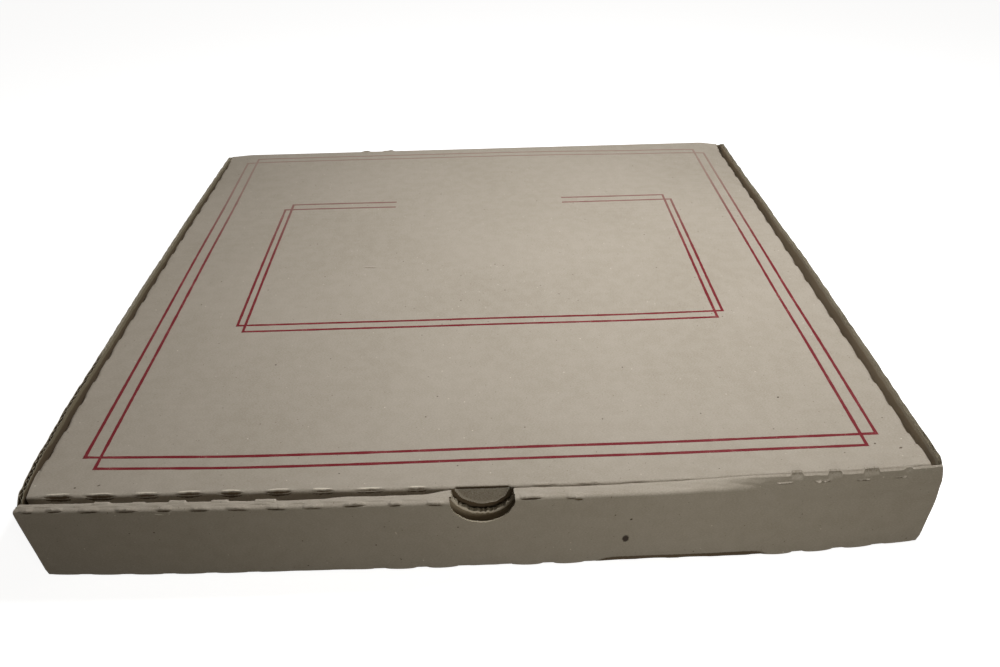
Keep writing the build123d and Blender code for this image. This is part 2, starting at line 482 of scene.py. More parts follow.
        start, end = edges[:, 0], edges[:, 1]
        edge_skin = np.where(runs == across_run, Skin.ACROSS, Skin.ALONG)
        run_place = np.take_along_axis(flat[start], runs[:, None], 1)[:, 0]
        run_end = np.take_along_axis(flat[end], runs[:, None], 1)[:, 0]
        for k in range(self.rim_cells):
            corner = [level(end, k), level(start, k), level(start, k + 1), level(end, k + 1)]
            faces.append(np.stack(corner, axis=1))
            skins.append(edge_skin)
            deep = np.full(len(runs), shares[k] * PLAN.board)
            deeper = np.full(len(runs), shares[k + 1] * PLAN.board)
            ring = [(run_end, deep), (run_place, deep), (run_place, deeper), (run_end, deeper)]
            maps.append(np.stack([np.stack(pair, axis=1) for pair in ring], axis=1))

        torn = None
        if self.torn is not None:
            on_face = self.torn.ravel()
            under = on_face * 0 if self.inner_tint is None else self.inner_tint.ravel()
            torn = np.concatenate([on_face, under] + [on_face[rim]] * len(layers))
        return mesh_object(
            self.name,
            points,
            np.concatenate(faces),
            np.concatenate(maps),
            np.concatenate(skins),
            materials,
            torn,
        )


def new_object(name: str, data: bpy.types.ID) -> Object:
    """Makes an object of the data and links it to the scene.

    Args:
        name: Name of the object.
        data: Its mesh, camera or light.

    Returns:
        The object.
    """
    made = bpy.data.objects.new(name, data)
    bpy.context.scene.collection.objects.link(made)
    return made


def mesh_object(
    name: str,
    points: Array,
    faces: Array,
    uv: Array,
    skins: Array,
    materials: list[bpy.types.Material],
    torn: Array | None = None,
    sharp_angle: float = 38.0,
) -> Object:
    """Puts arrays into a new mesh object, held inside the limits of the CAD model.

    Vertices that no face uses are left out.

    Args:
        name: Name of the object and its mesh.
        points: Vertices in millimetres.
        faces: Corner numbers of each quad.
        uv: Flat sheet place of each corner in millimetres, (faces, 4, 2).
        skins: Material number of each face.
        materials: The materials.
        torn: At each vertex, above 0 how far the liner is torn brown or darkened brown, in places
            as painted shade, and below 0 how far it is frayed or crushed.
        sharp_angle: Edges past this angle in degrees are shown sharp.

    Returns:
        The object, linked to the scene.
    """
    points = np.clip(points, LIMITS[0], LIMITS[1])
    used, compact = np.unique(faces, return_inverse=True)
    faces = compact.reshape(faces.shape)
    mesh = bpy.data.meshes.new(name)
    mesh.vertices.add(len(used))
    mesh.vertices.foreach_set("co", (points[used] * METRES).astype(np.float32).ravel())
    mesh.loops.add(faces.size)
    mesh.loops.foreach_set("vertex_index", faces.astype(np.int32).ravel())
    mesh.polygons.add(len(faces))
    mesh.polygons.foreach_set("loop_start", np.arange(len(faces), dtype=np.int32) * 4)
    mesh.polygons.foreach_set("material_index", skins.astype(np.int32))
    mesh.update(calc_edges=True)
    layer = mesh.uv_layers.new(name="sheet")
    layer.data.foreach_set("uv", (uv * METRES).astype(np.float32).ravel())
    if torn is not None:
        attribute = mesh.attributes.new("torn", "FLOAT", "POINT")
        attribute.data.foreach_set("value", torn[used].astype(np.float32))
    for material in materials:
        mesh.materials.append(material)
    mesh.validate()
    mesh.polygons.foreach_set("use_smooth", np.ones(len(mesh.polygons), bool))
    mesh.set_sharp_from_angle(angle=np.radians(sharp_angle))
    return new_object(name, mesh)


class NodeTree:
    """Short hand for building a shader node tree."""

    def __init__(self, tree: bpy.types.NodeTree) -> None:
        """Keeps the tree that nodes are added to."""
        self.tree = tree

    def add(self, kind: str, inputs: dict | None = None, **settings: object) -> bpy.types.Node:
        """Adds one node.

        Args:
            kind: Blender's name of the node type.
            inputs: Values or sockets for its inputs, by name or number.
            settings: Properties of the node.

        Returns:
            The node.
        """
        node = self.tree.nodes.new(kind)
        for key, value in settings.items():
            setattr(node, key, value)
        for key, value in (inputs or {}).items():
            if isinstance(value, Socket):
                self.tree.links.new(value, node.inputs[key])
            else:
                node.inputs[key].default_value = value
        return node

    def math(self, operation: str, *values: object) -> Socket:
        """Adds a Math node for numbers or sockets and gives its output."""
        inputs = dict(enumerate(values))
        return self.add("ShaderNodeMath", inputs, operation=operation).outputs[0]

    def span(self, value: object, low: float, high: float) -> Socket:
        """Smooth step of a value between two limits, from 0 to 1."""
        inputs = {"Value": value, "From Min": low, "From Max": high}
        return self.add("ShaderNodeMapRange", inputs, interpolation_type="SMOOTHSTEP").outputs[0]

    def noise(
        self, vector: object, scale: float, detail: float = 2.0, roughness: float = 0.5
    ) -> Socket:
        """Adds a noise texture and gives its value."""
        inputs = {"Vector": vector, "Scale": scale, "Detail": detail, "Roughness": roughness}
        return self.add("ShaderNodeTexNoise", inputs).outputs[0]

    def mix(self, share: object, low: object, high: object) -> Socket:
        """Mixes two colours and gives the result."""
        inputs = {0: share, 6: low, 7: high}
        return self.add("ShaderNodeMix", inputs, data_type="RGBA").outputs[2]

    def bump(self, height: object, strength: float, distance: float) -> Socket:
        """Adds a bump for a height and gives the normal."""
        inputs = {"Height": height, "Strength": strength, "Distance": distance}
        return self.add("ShaderNodeBump", inputs).outputs[0]

    def paint(self, inputs: dict) -> None:
        """Adds a Principled shader with these inputs and makes it the material's surface."""
        shader = self.add("ShaderNodeBsdfPrincipled", inputs)
        self.add("ShaderNodeOutputMaterial", {"Surface": shader.outputs[0]})

    def seen(self) -> Socket:
        """Gives 1 to rays from the camera, of mirrors and through clear things, and 0 to others.

        Returns:
            The output.
        """
        path = self.add("ShaderNodeLightPath").outputs
        seen = self.math("MAXIMUM", path["Is Camera Ray"], path["Is Glossy Ray"])
        return self.math("MAXIMUM", seen, path["Is Transmission Ray"])


def empty_tree(owner: bpy.types.Material | bpy.types.World) -> NodeTree:
    """Switches on the nodes of a material or a world and removes them.

    Args:
        owner: The material or world.

    Returns:
        The short hand for its tree.
    """
    owner.use_nodes = True
    owner.node_tree.nodes.clear()
    return NodeTree(owner.node_tree)


def srgb(red: int, green: int, blue: int) -> tuple[float, float, float, float]:
    """Linear colour of an eight-bit display colour.

    Args:
        red: Red, from 0 to 255.
        green: Green.
        blue: Blue.

    Returns:
        Red, green, blue and an alpha of one.
    """
    value = np.array([red, green, blue]) / 255
    linear = np.where(value <= 0.04045, value / 12.92, ((value + 0.055) / 1.055) ** 2.4)
    return (*(float(x) for x in linear), 1.0)


def new_group(name: str, inputs: dict, outputs: dict) -> tuple[bpy.types.NodeTree, NodeTree]:
    """Makes a shader node group with named sockets.

    Args:
        name: Name of the group.
        inputs: Socket type of each input by name.
        outputs: Socket type of each output by name.

    Returns:
        The group, and the short hand for its tree.
    """
    group = bpy.data.node_groups.new(name, "ShaderNodeTree")
    for title, kind in inputs.items():
        group.interface.new_socket(name=title, in_out="INPUT", socket_type=kind)
    for title, kind in outputs.items():
        group.interface.new_socket(name=title, in_out="OUTPUT", socket_type=kind)
    return group, NodeTree(group)


def recycled_paper_group() -> bpy.types.NodeTree:
    """Node group for recycled liner paper: cloudy tone, mottling, fibres and flecks.

    Returns:
        The group, with a colour and a height.
    """
    inputs = {
        "Place": "NodeSocketVector",
        "Tone": "NodeSocketColor",
        "Dark": "NodeSocketColor",
        "Light": "NodeSocketColor",
    }
    outputs = {"Color": "NodeSocketColor", "Height": "NodeSocketFloat"}
    group, tree = new_group("recycled_paper", inputs, outputs)
    given = tree.add("NodeGroupInput").outputs
    place = given["Place"]
    cloud = tree.span(tree.noise(place, 14, 3), 0.3, 0.7)
    mottle = tree.span(tree.noise(place, 160, 3, 0.6), 0.34, 0.66)
    stretch = tree.add(
        "ShaderNodeMapping", {"Vector": place, "Scale": (1.0, 2.6, 1.0), "Rotation": (0, 0, 0.25)}
    ).outputs[0]
    fibre = tree.span(tree.noise(stretch, 1250, 2, 0.7), 0.28, 0.72)
    shade = tree.mix(tree.math("MULTIPLY", cloud, 0.35), given["Tone"], given["Dark"])
    shade = tree.mix(tree.math("MULTIPLY", mottle, 0.24), shade, given["Light"])
    shade = tree.mix(tree.math("MULTIPLY", fibre, 0.34), shade, given["Light"])
    low = tree.math("SUBTRACT", 1.0, fibre)
    shade = tree.mix(tree.math("MULTIPLY", low, 0.34), shade, given["Dark"])
    for scale, size, colour, strength in (
        (230, 0.10, srgb(58, 44, 32), 0.8),
        (480, 0.14, srgb(94, 80, 62), 0.6),
        (310, 0.12, srgb(232, 226, 212), 0.7),
    ):
        cell = tree.add("ShaderNodeTexVoronoi", {"Vector": place, "Scale": float(scale)})
        spot = tree.math("SUBTRACT", 1.0, tree.span(cell.outputs["Distance"], size * 0.4, size))
        pick = tree.add("ShaderNodeSeparateColor", {0: cell.outputs["Color"]}).outputs[0]
        lucky = tree.span(pick, 0.74, 0.92)
        share = tree.math("MULTIPLY", tree.math("MULTIPLY", spot, lucky), strength)
        shade = tree.mix(share, shade, colour)
    height = tree.math("ADD", tree.math("MULTIPLY", fibre, 0.6), tree.math("MULTIPLY", mottle, 0.4))
    tree.add("NodeGroupOutput", {"Color": shade, "Height": height})
    return group


def flute_group() -> bpy.types.NodeTree:
    """Node group for the end of a corrugated board: liners, the sine of the medium and holes.

    Returns:
        The group, with a mask that is 1 on paper and 0 in a flute.
    """
    inputs = {"Along": "NodeSocketFloat", "Share": "NodeSocketFloat", "Across": "NodeSocketFloat"}
    group, tree = new_group("flute_ends", inputs, {"Paper": "NodeSocketFloat"})
    given = tree.add("NodeGroupInput").outputs
    turn = tree.math("MULTIPLY", given["Along"], 2 * np.pi / (PLAN.flute_pitch * METRES))
    medium = tree.math("MULTIPLY", tree.math("SINE", turn), 0.3)
    centred = tree.math("SUBTRACT", given["Share"], 0.5)
    off = tree.math("ABSOLUTE", tree.math("SUBTRACT", centred, medium))
    wave = tree.math("SUBTRACT", 1.0, tree.span(off, 0.07, 0.13))
    wave = tree.math("MULTIPLY", wave, given["Across"])
    edge = 0.5 - PLAN.liner
    liner = tree.span(tree.math("ABSOLUTE", centred), edge - 0.04, edge + 0.02)
    tree.add("NodeGroupOutput", {"Paper": tree.math("MAXIMUM", wave, liner)})
    return group


def mark_group() -> bpy.types.NodeTree:
    """Node group for one mark on the board: a soft ragged ellipse at a place of the sheet.

    Returns:
        The group, with a mask that is 1 inside the mark.
    """
    inputs = {
        "Place": "NodeSocketVector",
        "Centre": "NodeSocketVector",
        "Turn": "NodeSocketVector",
        "Size": "NodeSocketVector",
    }
    group, tree = new_group("board_mark", inputs, {"Mask": "NodeSocketFloat"})
    given = tree.add("NodeGroupInput").outputs
    off = tree.add(
        "ShaderNodeMapping",
        {"Vector": given["Place"], "Location": given["Centre"], "Rotation": given["Turn"]},
        vector_type="TEXTURE",
    ).outputs[0]
    share = tree.add("ShaderNodeVectorMath", {0: off, 1: given["Size"]}, operation="DIVIDE")
    away = tree.add("ShaderNodeVectorMath", {0: share.outputs[0]}, operation="LENGTH")
    ragged = tree.math("MULTIPLY", tree.noise(given["Place"], 2400, 2), 0.6)
    away = tree.math("ADD", away.outputs["Value"], ragged)
    mask = tree.math("SUBTRACT", 1.0, tree.span(away, 0.9, 1.3))
    tree.add("NodeGroupOutput", {"Mask": mask})
    return group


@dataclass(frozen=True)
class Mark:
    """A stain or scratch: middle and half sizes in sheet millimetres, turn in degrees, colour."""

    place: tuple[float, float]
    size: tuple[float, float]
    turn: float
    colour: Colour
    strength: float = 0.9


@dataclass(frozen=True)
class LinerFinish:
    """Recycled grey-beige liner paper over faint flutes, brown where it is torn, and brown
    where shade is painted.
    """

    name: str
    paper: Paper
    core: Colour = (90, 76, 57)
    fray: Colour = (230, 221, 204)
    washboard: float = 0.03
    flutes_on_v: bool = True
    marks: tuple[Mark, ...] = ()

    def material(self, fibres: bpy.types.NodeTree, spot: bpy.types.NodeTree) -> bpy.types.Material:
        """Builds the material.

        Args:
            fibres: The recycled paper group.
            spot: The mark group.

        Returns:
            The material.
        """
        material = bpy.data.materials.new(self.name)
        tree = empty_tree(material)
        place = tree.add("ShaderNodeUVMap", uv_map="sheet").outputs[0]
        colours = (srgb(*colour) for colour in self.paper.value)
        tones = dict(zip(("Tone", "Dark", "Light"), colours))
        liner = tree.add("ShaderNodeGroup", {"Place": place, **tones}, node_tree=fibres)
        axes = tree.add("ShaderNodeSeparateXYZ", {0: place}).outputs
        across = axes[1] if self.flutes_on_v else axes[0]
        turn = tree.math("MULTIPLY", across, 2 * np.pi / (PLAN.flute_pitch * METRES))
        ridge = tree.math("SINE", turn)
        patchy = tree.span(tree.noise(place, 24, 2), 0.35, 0.65)
        ridge = tree.math("MULTIPLY", ridge, patchy)
        valley = tree.math("ADD", tree.math("MULTIPLY", ridge, 0.5), 0.5)
        valley = tree.math("MULTIPLY", valley, self.washboard)
        colour = tree.mix(valley, liner.outputs["Color"], tones["Dark"])
        # The torn attribute holds tears and fray, and on some pieces painted shade: under the side
        # walls' raw edges, on the lid fold's underside and round the thumb half moon.
        torn = tree.add("ShaderNodeAttribute", attribute_name="torn").outputs["Fac"]
        ragged = tree.math("ADD", torn, tree.math("MULTIPLY", tree.noise(place, 1500, 2), 0.35))
        open_core = tree.span(ragged, 0.45, 0.8)
        colour = tree.mix(open_core, colour, srgb(*self.core))
        raised = tree.math("SUBTRACT", tree.math("MULTIPLY", tree.noise(place, 1900, 2), 0.4), torn)
        colour = tree.mix(tree.span(raised, 0.5, 0.95), colour, srgb(*self.fray))
        for mark in self.marks:
            inputs = {
                "Place": place,
                "Centre": (mark.place[0] * METRES, mark.place[1] * METRES, 0),
                "Turn": (0, 0, np.radians(mark.turn)),
                "Size": (mark.size[0] * METRES, mark.size[1] * METRES, 1),
            }
            stain = tree.add("ShaderNodeGroup", inputs, node_tree=spot)
            share = tree.math("MULTIPLY", stain.outputs["Mask"], mark.strength)
            colour = tree.mix(share, colour, srgb(*mark.colour))
        height = tree.math("ADD", liner.outputs["Height"], tree.math("MULTIPLY", ridge, 0.8))
        normal = tree.bump(height, 0.35, 0.00008)
        inputs = {"Base Color": colour, "Roughness": 0.86, "Normal": normal}
        tree.paint({**inputs, "Specular IOR Level": 0.25})
        return material


@dataclass(frozen=True)
class EdgeFinish:
    """Raw cut edge of the board: pale frayed paper round dark open flutes."""

    name: str
    across_flutes: bool
    paper_colour: Colour
    fray: Colour
    # Open flutes are painted this dark brown: the brown medium with painted shade for the depth of
    # the hole.
    hole: Colour = (66, 54, 38)
    wobble: float = 0.6

    def material(self, flutes: bpy.types.NodeTree) -> bpy.types.Material:
        """Builds the material.

        Args:
            flutes: The flute ends group.

        Returns:
            The material.
        """
        material = bpy.data.materials.new(self.name)
        tree = empty_tree(material)
        place = tree.add("ShaderNodeUVMap", uv_map="sheet").outputs[0]
        axes = tree.add("ShaderNodeSeparateXYZ", {0: place}).outputs
        wobble = tree.math("SUBTRACT", tree.noise(place, 300, 2), 0.5)
        wobble = tree.math("MULTIPLY", wobble, self.wobble * METRES)
        inputs = {
            "Along": tree.math("ADD", axes[0], wobble),
            "Share": tree.math("DIVIDE", axes[1], PLAN.board * METRES),
            "Across": float(self.across_flutes),
        }
        ends = tree.add("ShaderNodeGroup", inputs, node_tree=flutes)
        frayed = tree.span(tree.noise(place, 2200, 2, 0.7), 0.35, 0.7)
        paper = tree.mix(frayed, srgb(*self.paper_colour), srgb(*self.fray))
        torn = tree.add("ShaderNodeAttribute", attribute_name="torn").outputs["Fac"]
        crushed = tree.span(tree.math("MULTIPLY", torn, -1.0), 0.2, 0.8)
        solid = tree.math("MAXIMUM", ends.outputs["Paper"], crushed)
        if not self.across_flutes:
            ragged = tree.span(tree.noise(place, 700, 3, 0.6), 0.3, 0.44)
            solid = tree.math("MAXIMUM", solid, ragged)
        colour = tree.mix(solid, srgb(*self.hole), paper)
        normal = tree.bump(frayed, 0.5, 0.0001)
        inputs = {"Base Color": colour, "Roughness": 0.9, "Normal": normal}
        tree.paint({**inputs, "Specular IOR Level": 0.2})
        return material


@dataclass(frozen=True)
class InkFinish:
    """Dark red printing ink that sinks unevenly into the board."""

    name: str = "red_ink"
    ink: Colour = (108, 6, 22)
    thin: Colour = (128, 42, 48)
    board: Colour = (178, 167, 152)
    fade: float = 0.62

    def material(self) -> bpy.types.Material:
        """Builds the material.

        Returns:
            The material.
        """
        material = bpy.data.materials.new(self.name)
        tree = empty_tree(material)
        place = tree.add("ShaderNodeTexCoord").outputs["Object"]
        grain = tree.noise(place, 2600, 2, 0.7)
        patch = tree.noise(place, 120, 2)
        bare = tree.span(tree.math("ADD", grain, tree.math("MULTIPLY", patch, 0.3)), 0.8, 0.95)
        tone = tree.mix(tree.span(patch, 0.45, 0.85), srgb(*self.ink), srgb(*self.thin))
        far = tree.add("ShaderNodeSeparateXYZ", {0: place}).outputs[1]
        far = tree.math("MULTIPLY", tree.span(far, 0.0, 0.15), self.fade)
        colour = tree.mix(tree.math("MAXIMUM", bare, far), tone, srgb(*self.board))
        tree.paint({"Base Color": colour, "Roughness": 0.72, "Specular IOR Level": 0.3})
        return material


class Finishes:
    """All materials of the box, built once."""

    marks: tuple[Mark, ...] = (
        Mark((752.0, 25.7), (1.5, 2.2), 0, (38, 24, 14), 0.95),
        Mark((753.4, 35.8), (0.6, 0.45), 30, (60, 46, 34)),
        Mark((586.4, 45.9), (1.9, 0.3), -8, (232, 226, 210)),
        Mark((668.4, 33.0), (0.3, 0.8), 10, (214, 206, 190), 0.8),
        Mark((-56.2, 4.6), (4.2, 0.28), -4, (72, 58, 42)),
        Mark((-56.2, 5.3), (4.0, 0.25), -4, (214, 206, 190), 0.6),
        Mark((-89.0, -75.0), (0.5, 0.4), 0, (60, 48, 36)),
        Mark((120.0, -108.0), (0.6, 0.45), 40, (58, 46, 34)),
        Mark((155.9, -139.8), (0.9, 0.5), 30, (88, 74, 60)),
        Mark((147.5, -136.6), (0.5, 0.45), 0, (74, 60, 46)),
        Mark((-147.7, -148.4), (0.5, 0.5), 20, (66, 54, 40)),
        Mark((-139.5, -147.0), (0.8, 0.35), 35, (70, 58, 44)),
    )

    def __init__(self) -> None:
        """Builds the shared groups and the materials."""
        fibres, flutes, spot = recycled_paper_group(), flute_group(), mark_group()
        edges = (
            # The second edge across the flutes is a darker copy of the first: painted shade for the
            # right wall's raw top edge.
            EdgeFinish("edge_across_flutes", True, (134, 125, 106), (176, 168, 150)),
            EdgeFinish("edge_across_flutes_dusky", True, (104, 96, 80), (136, 128, 110)),
            EdgeFinish("edge_along_flutes", False, (150, 140, 121), (188, 179, 161)),
        )
        across, painted_shade_edge, along = (edge.material(flutes) for edge in edges)
        upright = {"flutes_on_v": False}
        liners = (
            LinerFinish("board_inside", Paper.BROWN),
            LinerFinish("board_outside", Paper.GREY, marks=self.marks),
            # The left walls' inside finish is a darker copy of the right walls' olive one: painted
            # shade, also on the left corner tabs. The cores of both are the colours that the
            # painted shade band under the raw edges darkens to.
            LinerFinish("board_inside_upright", Paper.OLIVE, core=(160, 143, 120), **upright),
            LinerFinish("board_inside_painted_shade", Paper.PAINTED_SHADE, core=(90, 77, 60), **upright),
            LinerFinish("board_outside_upright", Paper.GREY, **upright),
        )
        inside, outside, upright_in, painted_shade_in, upright_out = (
            liner.material(fibres, spot) for liner in liners
        )
        self.sheet = [outside, inside, across, along]
        self.upright = {
            Side.RIGHT: [upright_out, upright_in, painted_shade_edge, along],
            Side.LEFT: [upright_out, painted_shade_in, across, along],
        }
        self.ink = [InkFinish().material()]


@dataclass
class TrayFront:
    """The rolled front wall: bottom fold, outer wall, ledge, inner wall and lock tabs.

    Its section is one folded path. The corners of the path are curves along X, read off the
    real box: the wall bows forwards in the middle, and to the right its outer crease sinks and
    the ledge becomes a steep slope that laps over the lid's edge.
    """

    bottom_y: Curve = Curve(
        (-165, -128, -92, -60, -28, 20, 60, 92, 111, 125, 143, 165),
        (-156.4, -157.8, -158.5, -158.9, -159, -159, -159, -158.9, -158.2, -157.4, -156.2, -154.6),
    )
    crease_y: Curve = Curve(
        (-165, -116, -81, -46, -14, 14, 42, 59, 80, 109, 125, 138, 151, 165),
        (-156.3, -157.9, -158.6, -158.7, -158.9, -158.4, -158.3, -158.2, -156.6, -153.1, -152.6,
         -152.2, -151.7, -151.2),
    )
    crease_z: Curve = Curve(
        (-165, -150, -116, -81, -46, -14, 14, 42, 59, 80, 109, 165),
        (36.2, 36.2, 36.2, 36.2, 36.0, 35.9, 36.4, 36.3, 36.1, 35.0, 31.6, 30.9),
    )
    inner_y: Curve = Curve(
        (-165, -150, -135, -118, -86, -68, -57, -47, -42, -37, -31, -24, -19, -15, 14, 42, 57, 80,
         95, 109, 125, 132, 147, 159, 165),
        (-152.3, -152.5, -152.85, -153.3, -154.0, -154.4, -154.2, -153.5, -153.55, -153.9, -153.65,
         -153.7, -153.5, -152.6, -152.45, -152.5, -152.15, -151.4, -150.8, -150.6, -150.55, -150.5,
         -149.9, -149.2, -148.9),
    )
    inner_z: Curve = Curve(
        (-165, -118, -86, -47, -15, 14, 42, 57, 80, 109, 165),
        (36.1, 36.0, 36.0, 35.9, 35.9, 36.3, 36.3, 36.4, 36.4, 36.6, 37.1),
    )
    cuts: tuple[tuple[float, float], ...] = (
        (-160.4, 4.8), (-150.3, 5.6), (-138.4, 7.2), (-125.1, 7.6), (-111.7, 5.0), (-99.3, 6.8),
        (-85.8, 7.8), (-72.3, 7.0), (-59.6, 6.8), (-45.1, 7.5), (-30.6, 4.4), (-16.6, 6.3),
        (17.2, 7.8), (32.7, 6.2), (109.2, 6.4), (123.2, 7.1), (138.0, 5.2), (150.7, 4.4),
    )
    tabs: tuple[tuple[float, float, float], ...] = (
        (-134.5, 6.2, 0.5), (-121.5, 5.0, 0.3), (-107.7, 6.6, 0.7), (-92.8, 6.4, 0.6),
        (-76.5, 8.0, 0.6), (113.5, 4.7, 1.7), (127.2, 5.4, 1.7), (140.6, 6.0, 1.9),
        (152.6, 2.8, 1.2),
    )
    bumps: Curve = Curve(
        (-165, -100, -47.4, -31.6, -15.8, 0, 15.8, 31.6, 47.4, 94.8, 110.6, 142.2, 158),
        (0.35, 0.5, 0.3, 1.0, 1.1, 0.15, 1.1, 1.1, 0.1, 0.1, 1.1, 1.0, 0.4),
    )
    bottom_pitch: float = 15.8
    bottom_cut: float = 11.5
    bottom_setback: float = 0.5
    margin: float = 6.0
    lock_spacing: float = 160.0
    lock_length: float = 36.0
    lock_gap: float = 0.5
    notch_width: float = 23.2
    notch_depth: float = 10.8
    notch_reach: float = 16.0
    fold_cells: int = 12
    bend_cells: int = 3
    bend_z: float = 22.0
    upright_share: float = 0.42
    trims: tuple[float, ...] = (0.85, 3.0, 0.9, 0.9, 3.0)
    layers: float = 3.5
    pinch: float = 0.75
    flare: float = 2.9
    foot_flare: float = 0.5
    foot_tuck: float = 1.2
    end_taper: float = 1.6
    overlap: float = 0.35
    cut_depth: float = 0.9
    lip_height: float = 0.38
    lip_offset: float = 0.45
    lip_width: float = 0.26
    slope_x: float = 60.0
    line_drop: float = 0.3
    wall_wave: float = 0.1
    ledge_wave: float = 0.09
    inner_from: float = 3.0
    notch_steep: float = 2.2
    fray_width: float = 1.8
    tint_width: float = 9.0
    origin: tuple[float, float] = (700.0, 0.0)
    worn_depth: float = 0.3
    line_rise: float = 2.7
    ply_depth: float = 0.25
    tab_lift: tuple[float, float, float] = (0.0, 0.75, 0.66)

    def outer_y(self, x: Array) -> tuple[Array, Array]:
        """The outer wall's lean. Its lower part stands more upright to the right.

        Args:
            x: Stations along the wall.

        Returns:
            Y of the wall's middle line at its foot and at its bend.
        """
        low = self.bottom_y(x) + PLAN.mid
        lean = self.crease_y(x) + PLAN.mid - low
        upright = ramp(x, 40, 100)
        share = self.bend_z / PLAN.top
        return low, low + lean * (share * (1 - upright) + self.upright_share * upright)

    def end_y(self, side: Side) -> float:
        """Y of the outer wall's middle line at its foot, at one end of the wall."""
        return self.outer_y(np.array([PLAN.half * side]))[0][0]

    def corners(self, x: Array) -> Array:
        """Corner points of the section's middle line.

        Args:
            x: Stations along the wall.

        Returns:
            Y and Z of the seven corners at each station, (stations, 7, 2).
        """
        mid = PLAN.mid
        low, bend = self.outer_y(x)
        inner_top = self.inner_y(x) - mid
        foot = np.maximum(PLAN.front + PLAN.ledge - mid, low + self.layers)
        inner_bend = foot + (inner_top - foot) * self.bend_z / PLAN.top
        inner_bend = np.maximum(inner_bend, bend + self.layers)
        level = np.zeros_like(x)
        points = [
            (level + PLAN.front_seam, level + mid),
            (low, level + mid),
            (bend, level + self.bend_z),
            (self.crease_y(x) + mid, self.crease_z(x) - mid),
            (inner_top, self.inner_z(x) - mid),
            (inner_bend, level + self.bend_z),
            (foot, level),
        ]
        return np.stack([np.stack(p, axis=-1) for p in points], axis=1)

    def shares(self, fine: bool) -> list[Array]:
        """Shares of the six straights at which the section has points.

        Args:
            fine: Whether the upper parts of the walls have close rows.

        Returns:
            The shares of each straight, from 0 to 1.
        """
        base_run = self.corners(np.array([0.0]))[0]
        start, end = PLAN.front_seam, base_run[1, 0] + self.trims[0]
        slot_y = PLAN.front + PLAN.ledge - PLAN.mid
        slot = PLAN.mid + self.lock_gap
        base = [(y - start) / (end - start) for y in (start, slot_y + slot, slot_y - slot, end)]
        upper = np.linspace(0, 1, 33 if fine else 7)
        foot = 1 - (PLAN.board + PLAN.edge_gap) / (self.bend_z - self.trims[4])
        inner = np.append(np.linspace(0, 1, 6) * foot, 1.0)
        return [np.array(base), np.linspace(0, 1, 7), upper, np.linspace(0, 1, 15), upper, inner]

    def surface(self, x: Array, fine: bool) -> tuple[Array, Array, list[int]]:
        """Middle surface of the strip.

        Args:
            x: Stations along the wall.
            fine: Whether the upper parts of the walls have close rows, for the thumb notch.

        Returns:
            The points (stations, rows, 3), the flat coordinate of the rows, and the row number
            at which each straight ends.
        """
        shares = self.shares(fine)
        fold, bend = self.fold_cells, self.bend_cells
        cells = [fold, bend, fold, fold, bend]
        path = folded_path(self.corners(x), list(self.trims), shares, cells)
        nominal = folded_path(self.corners(np.array([0.0])), list(self.trims), shares, cells)
        flat = path_lengths(nominal[0])
        counts = [len(share) + extra - 1 for share, extra in zip(shares, cells + [1])]
        starts = np.concatenate([[0], np.cumsum(counts)])
        ends = [int(start) + len(share) - 1 for start, share in zip(starts, shares)]
        rise = np.clip(path[..., 1] / PLAN.top, 0, 1)
        spread = self.flare * rise**1.2 + self.foot_flare * ramp(path[..., 1], 0, 6)
        spread = spread * ramp(x, 140, 165)[:, None]
        tuck = self.foot_tuck * ramp(x, -148, -165)[:, None] * (1 - rise)
        crease, inner = self.crease_y(x)[:, None] + PLAN.mid, self.inner_y(x)[:, None] - PLAN.mid
        over = np.clip((path[..., 0] - crease) / (inner - crease), 0, 1) * rise**2
        taper = self.end_taper * over * np.sign(x)[:, None] * ramp(np.abs(x), 158, 165)[:, None]
        across = x[:, None] + spread + tuck - taper
        return np.concatenate([across[..., None], path], axis=2), flat, ends

    def cut_relief(self, x: Array, v: Array, fold: float) -> tuple[Array, Array]:
        """Cuts along the ledge's outer fold.

        A cut is a groove with a half circle's law along the fold and a bell across it, and over
        it the torn liner stands up as a pale lip. To the right the row runs higher up the slope,
        with wider grooves and higher lips. To the left the fold is worn down between the cuts.

        Args:
            x: Stations along the wall, as a column.
            v: Flat coordinate of the rows.
            fold: Flat coordinate of the fold's middle.

        Returns:
            Displacement along the normal, and how far the liner is torn, on the grid.
        """
        rng = np.random.default_rng(17)
        nearest, share = nearest_cut(x[:, 0], self.cuts)
        window = np.sqrt(np.clip(1 - share**2, 0, None))[:, None]
        drop = rng.uniform(-0.1, 0.3, len(self.cuts))[nearest]
        skew = rng.uniform(-0.12, 0.12, len(self.cuts))[nearest] * share
        strength = rng.uniform(0.7, 1.0, len(self.cuts))[nearest][:, None]
        on_slope = x > self.slope_x
        line = fold - self.line_drop - (drop + skew)[:, None] + self.line_rise * ramp(x, 90, 105)
        groove = window * strength * bell(v - line, 0.07 + 0.08 * window + 0.07 * on_slope)
        fringe = window * (1 + 0.5 * Ripple(13, 0.8, 3)(x, v))
        lip = fringe * bell(v - line - self.lip_offset, self.lip_width)
        lip = lip * np.where(on_slope, 1.7, 0.9)
        wear_and_shade = (1 - window) * ramp(x, self.slope_x, 40) * bell(v - fold - self.line_drop, 0.9)
        relief = -self.cut_depth * groove + self.lip_height * lip - self.worn_depth * wear_and_shade
        return relief, 1.4 * groove - 0.95 * lip

